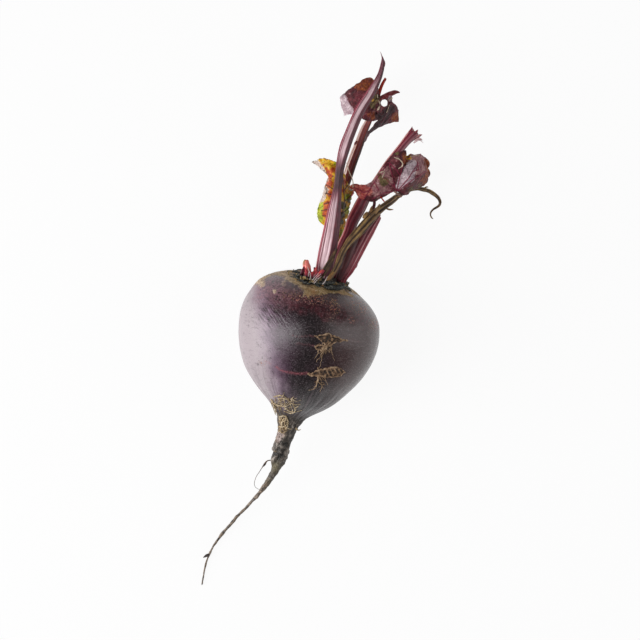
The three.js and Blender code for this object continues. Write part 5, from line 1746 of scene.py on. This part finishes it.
tufts = {
    "upperSideRoots": {
        "node": "upper_side_roots", "seed": 5,
        "scars": [
            {
                "upper": [(3.4, -1.9), (6.5, -0.9), (9.8, -0.2), (14.9, -1.6), (17.9, -3.2), (22.6, -4.3)],
                "lower": [(3.4, -2.0), (6, -4), (8.3, -6.4), (11, -7.6), (13.5, -6), (17, -5), (22.6, -4.5)],
                "height": 0.55,
            },
            {
                "upper": [(2.8, -6.4), (5, -6.2), (7.6, -6.2)],
                "lower": [(2.8, -6.6), (4.5, -9.4), (7.6, -10)],
                "height": 0.4,
            },
        ],
        "threads": [
            ([(11.5, -5), (9, -8), (6.5, -12), (4.2, -15.4)], 0.42),
            ([(10, -6), (8.3, -10), (7, -14), (5.6, -19.3)], 0.24),
            ([(11.8, -6), (12, -9), (13, -12.5), (13.8, -15)], 0.22),
            ([(8.8, -6.5), (7, -9.5), (5.5, -11)], 0.5),
            ([(6, -8), (5, -11), (3.6, -13.8)], 0.26),
            ([(11, -5), (9.5, -8.5), (9, -11)], 0.4),
            ([(10.5, -6), (8, -9), (7.6, -12.2)], 0.34),
        ],
        "hairs": (16, (9, -7.5), (3.5, 2.6), 3.5, -2.0),
    },
    "lowerSideRoots": {
        "node": "lower_side_roots", "seed": 6,
        "scars": [
            {
                "upper": [
                    (-1, -20.8), (1.4, -20.5), (4.7, -19.1), (8.3, -18.1), (12.9, -17.3), (16.9, -17.9),
                    (19.4, -20.5)],
                "lower": [
                    (-1, -21.2), (1.4, -22.5), (7.7, -23), (12.9, -23.9), (16.9, -22.9), (19.4, -20.9)],
                "height": 0.5, "gills": 0.4,
            },
        ],
        "threads": [
            ([(6.1, -21.9), (5, -25), (3.5, -28.6), (0.4, -29.9)], 0.4),
            ([(6.1, -21.9), (5.4, -25.5), (7.2, -27.6), (6, -30.8)], 0.3),
            ([(6.5, -22), (8.7, -23.5), (9.4, -25.4), (10.4, -27)], 0.26),
            ([(5.5, -22.5), (4.8, -26), (4, -29)], 0.34),
            ([(6, -23), (7.5, -25.6), (8.8, -26.2)], 0.22),
            ([(5, -18), (5.8, -20), (6.2, -22)], 0.24),
        ],
        "hairs": (14, (5.5, -25.5), (2.4, 2.6), 3.0, -1.6),
    },
    "neckRootlets": {
        "node": "neck_rootlets", "seed": 7, "scars": [], "coarse": 1.5, "dry": 0.85, "shake": 0.12,
        "threads": [
            ([(-19.2, -34.8), (-17.4, -37), (-14.5, -38), (-11, -38.2), (-8.6, -36.8)], 0.42),
            ([(-17.6, -33.4), (-14.4, -32.6), (-11.6, -33.6), (-9.6, -36), (-11.4, -37.6)], 0.34),
            ([(-15.6, -34.4), (-12.6, -34.2), (-9.8, -35.2), (-7, -38.2)], 0.3),
            ([(-11.8, -39.2), (-9.6, -41), (-7, -41.4), (-6, -39.6)], 0.4),
            ([(-12.4, -41), (-9, -42.2), (-5.6, -41.2), (-3.2, -40.4)], 0.28),
            ([(-9.4, -36.6), (-6.4, -37.4), (-3.6, -37.2)], 0.26),
            ([(-8.8, -34.4), (-5.8, -35.6), (-3.4, -35)], 0.2),
            ([(-18.6, -35.6), (-17.4, -39), (-16, -42.4), (-14.8, -44)], 0.4),
            ([(-17.6, -37.4), (-17.8, -40.6), (-16.6, -43.6)], 0.34),
            ([(-19, -36.4), (-18.6, -39.6)], 0.3),
            ([(-15.2, -44.2), (-11.6, -43.8), (-10.4, -47), (-11.2, -50.4)], 0.42),
            ([(-14.8, -44.8), (-13.4, -47.6), (-14.6, -51)], 0.5),
            ([(-12.2, -44.6), (-13.8, -48.4), (-12.2, -52)], 0.5),
            ([(-15.6, -49.6), (-12.6, -49.2), (-10.6, -47.8)], 0.42),
            ([(-15.2, -51.6), (-12.6, -52.6), (-10.6, -51)], 0.4),
            ([(-15.4, -46.8), (-12, -46.2), (-10.8, -45)], 0.32), ([(-11.4, -44.4), (-12.6, -50)], 0.36),
            ([(-6.4, -50), (-4.8, -51.4), (-3.8, -51)], 0.5),
        ],
        "hairs": (56, (-12, -36.8), (5.6, 3.4), 4.0, -0.4),
        "strip": (16, (-14.0, -44), (-12.6, -53)),
    },
}


hairForm = {  # a pair is the least and the most
    "length": (0.5, 1.2), "lift": (0.2, 1.1), "thickness": (0.1, 0.24), "aim": (-1.5, 1.5),
    "stripHeading": -1.25, "stripAim": (-0.9, 0.9), "stripLength": (2.5, 5), "stripLift": (0.1, 0.6),
    "stripThickness": (0.2, 0.4), "stripCurl": 0.4,
}


def makeTuft(name, tuft):
    chance = random.Random(tuft["seed"])
    scars = [makeScar(name + "Scar", **scar) for scar in tuft["scars"]]
    lines = []
    shake, coarse = tuft.get("shake", 0.25), tuft.get("coarse", 1)
    for points, radius in tuft["threads"]:
        lines.append((route(points, chance, shake), radius * coarse**0.5))
    count, (x, y), (wide, tall), length, heading = tuft["hairs"]
    for _ in range(count):
        place = (x + wide * chance.uniform(-1, 1), y + tall * chance.uniform(-1, 1))
        aim = heading + chance.uniform(*hairForm["aim"])
        reach = length * chance.uniform(*hairForm["length"])
        hair = stray(*place, aim, reach, chance.uniform(*hairForm["lift"]), chance, 2 * shake)
        lines.append((hair, chance.uniform(*hairForm["thickness"]) * coarse))
    if "strip" in tuft:
        count, (x0, y0), (x1, y1) = tuft["strip"]
        for _ in range(count):
            share = chance.uniform(0, 0.75)
            place = (x0 + (x1 - x0) * share + chance.uniform(-1.8, 2.0), y0 + (y1 - y0) * share)
            aim = hairForm["stripHeading"] + chance.uniform(*hairForm["stripAim"])
            reach = chance.uniform(*hairForm["stripLength"])
            lift = chance.uniform(*hairForm["stripLift"])
            hair = stray(*place, aim, reach, lift, chance, hairForm["stripCurl"])
            lines.append((hair, chance.uniform(*hairForm["stripThickness"])))
    threads = fibres(name + "Threads", lines)
    dressedWith(threads, height=0.7, dry=tuft.get("dry", 0.15))
    return joinPieces(name, [threads] + scars)


def rootletMaterial():
    shader = Shader("rootlet")
    grain = shader.noise(0.9, 4, 0.65)
    patch = shader.noise(1.8, 2, 0.5)
    height = shader.painted("height")
    # height paints light and shade: raised places lighter, hollows darker
    tone = height * 0.45 + grain * 0.35 + patch * 0.45 - 0.1
    corky = shader.ramp(
        tone, (0.24, "#120b06"), (0.38, "#38261a"), (0.5, "#6c5038"), (0.62, "#94765a"), (0.8, "#b89c80"))
    straw = shader.ramp(
        tone, (0.3, "#1c140e"), (0.42, "#4c3c2a"), (0.53, "#8a7454"), (0.64, "#b8a482"), (0.78, "#e0d4bc"))
    base = shader.mix(shader.painted("dry"), corky, straw)
    return shader.finish(base, 0.7, shader.bump(grain, 0.4, 0.8))


rootletFinish = rootletMaterial()
for name, tuft in tufts.items():
    dress(makeTuft(name, tuft), rootletFinish, "rootlet", tuft["node"])

loop = {  # the hair root that leaves the tail and comes back to it
    "sides": 8, "spacing": 0.9,
    "stations": [
        (-16.4, -67.6, 22.6, 0.7), (-19.5, -67.4, 22.5, 0.32), (-21.6, -67.8, 21.8, 0.3),
        (-22.8, -69.6, 21, 0.62), (-23.8, -70.8, 19.8, 0.3), (-25.5, -73.5, 17, 0.16),
        (-28, -78, 14, 0.13), (-28, -82, 12.5, 0.12), (-25.5, -83.5, 12.5, 0.1),
    ],
}
tailRootlet = limb("tailRootlet", loop["stations"], sides=loop["sides"], spacing=loop["spacing"])
dressedWith(tailRootlet, height=0.2)
dress(tailRootlet, rootletFinish, "rootlet", "tail_rootlet")
print("side roots made")
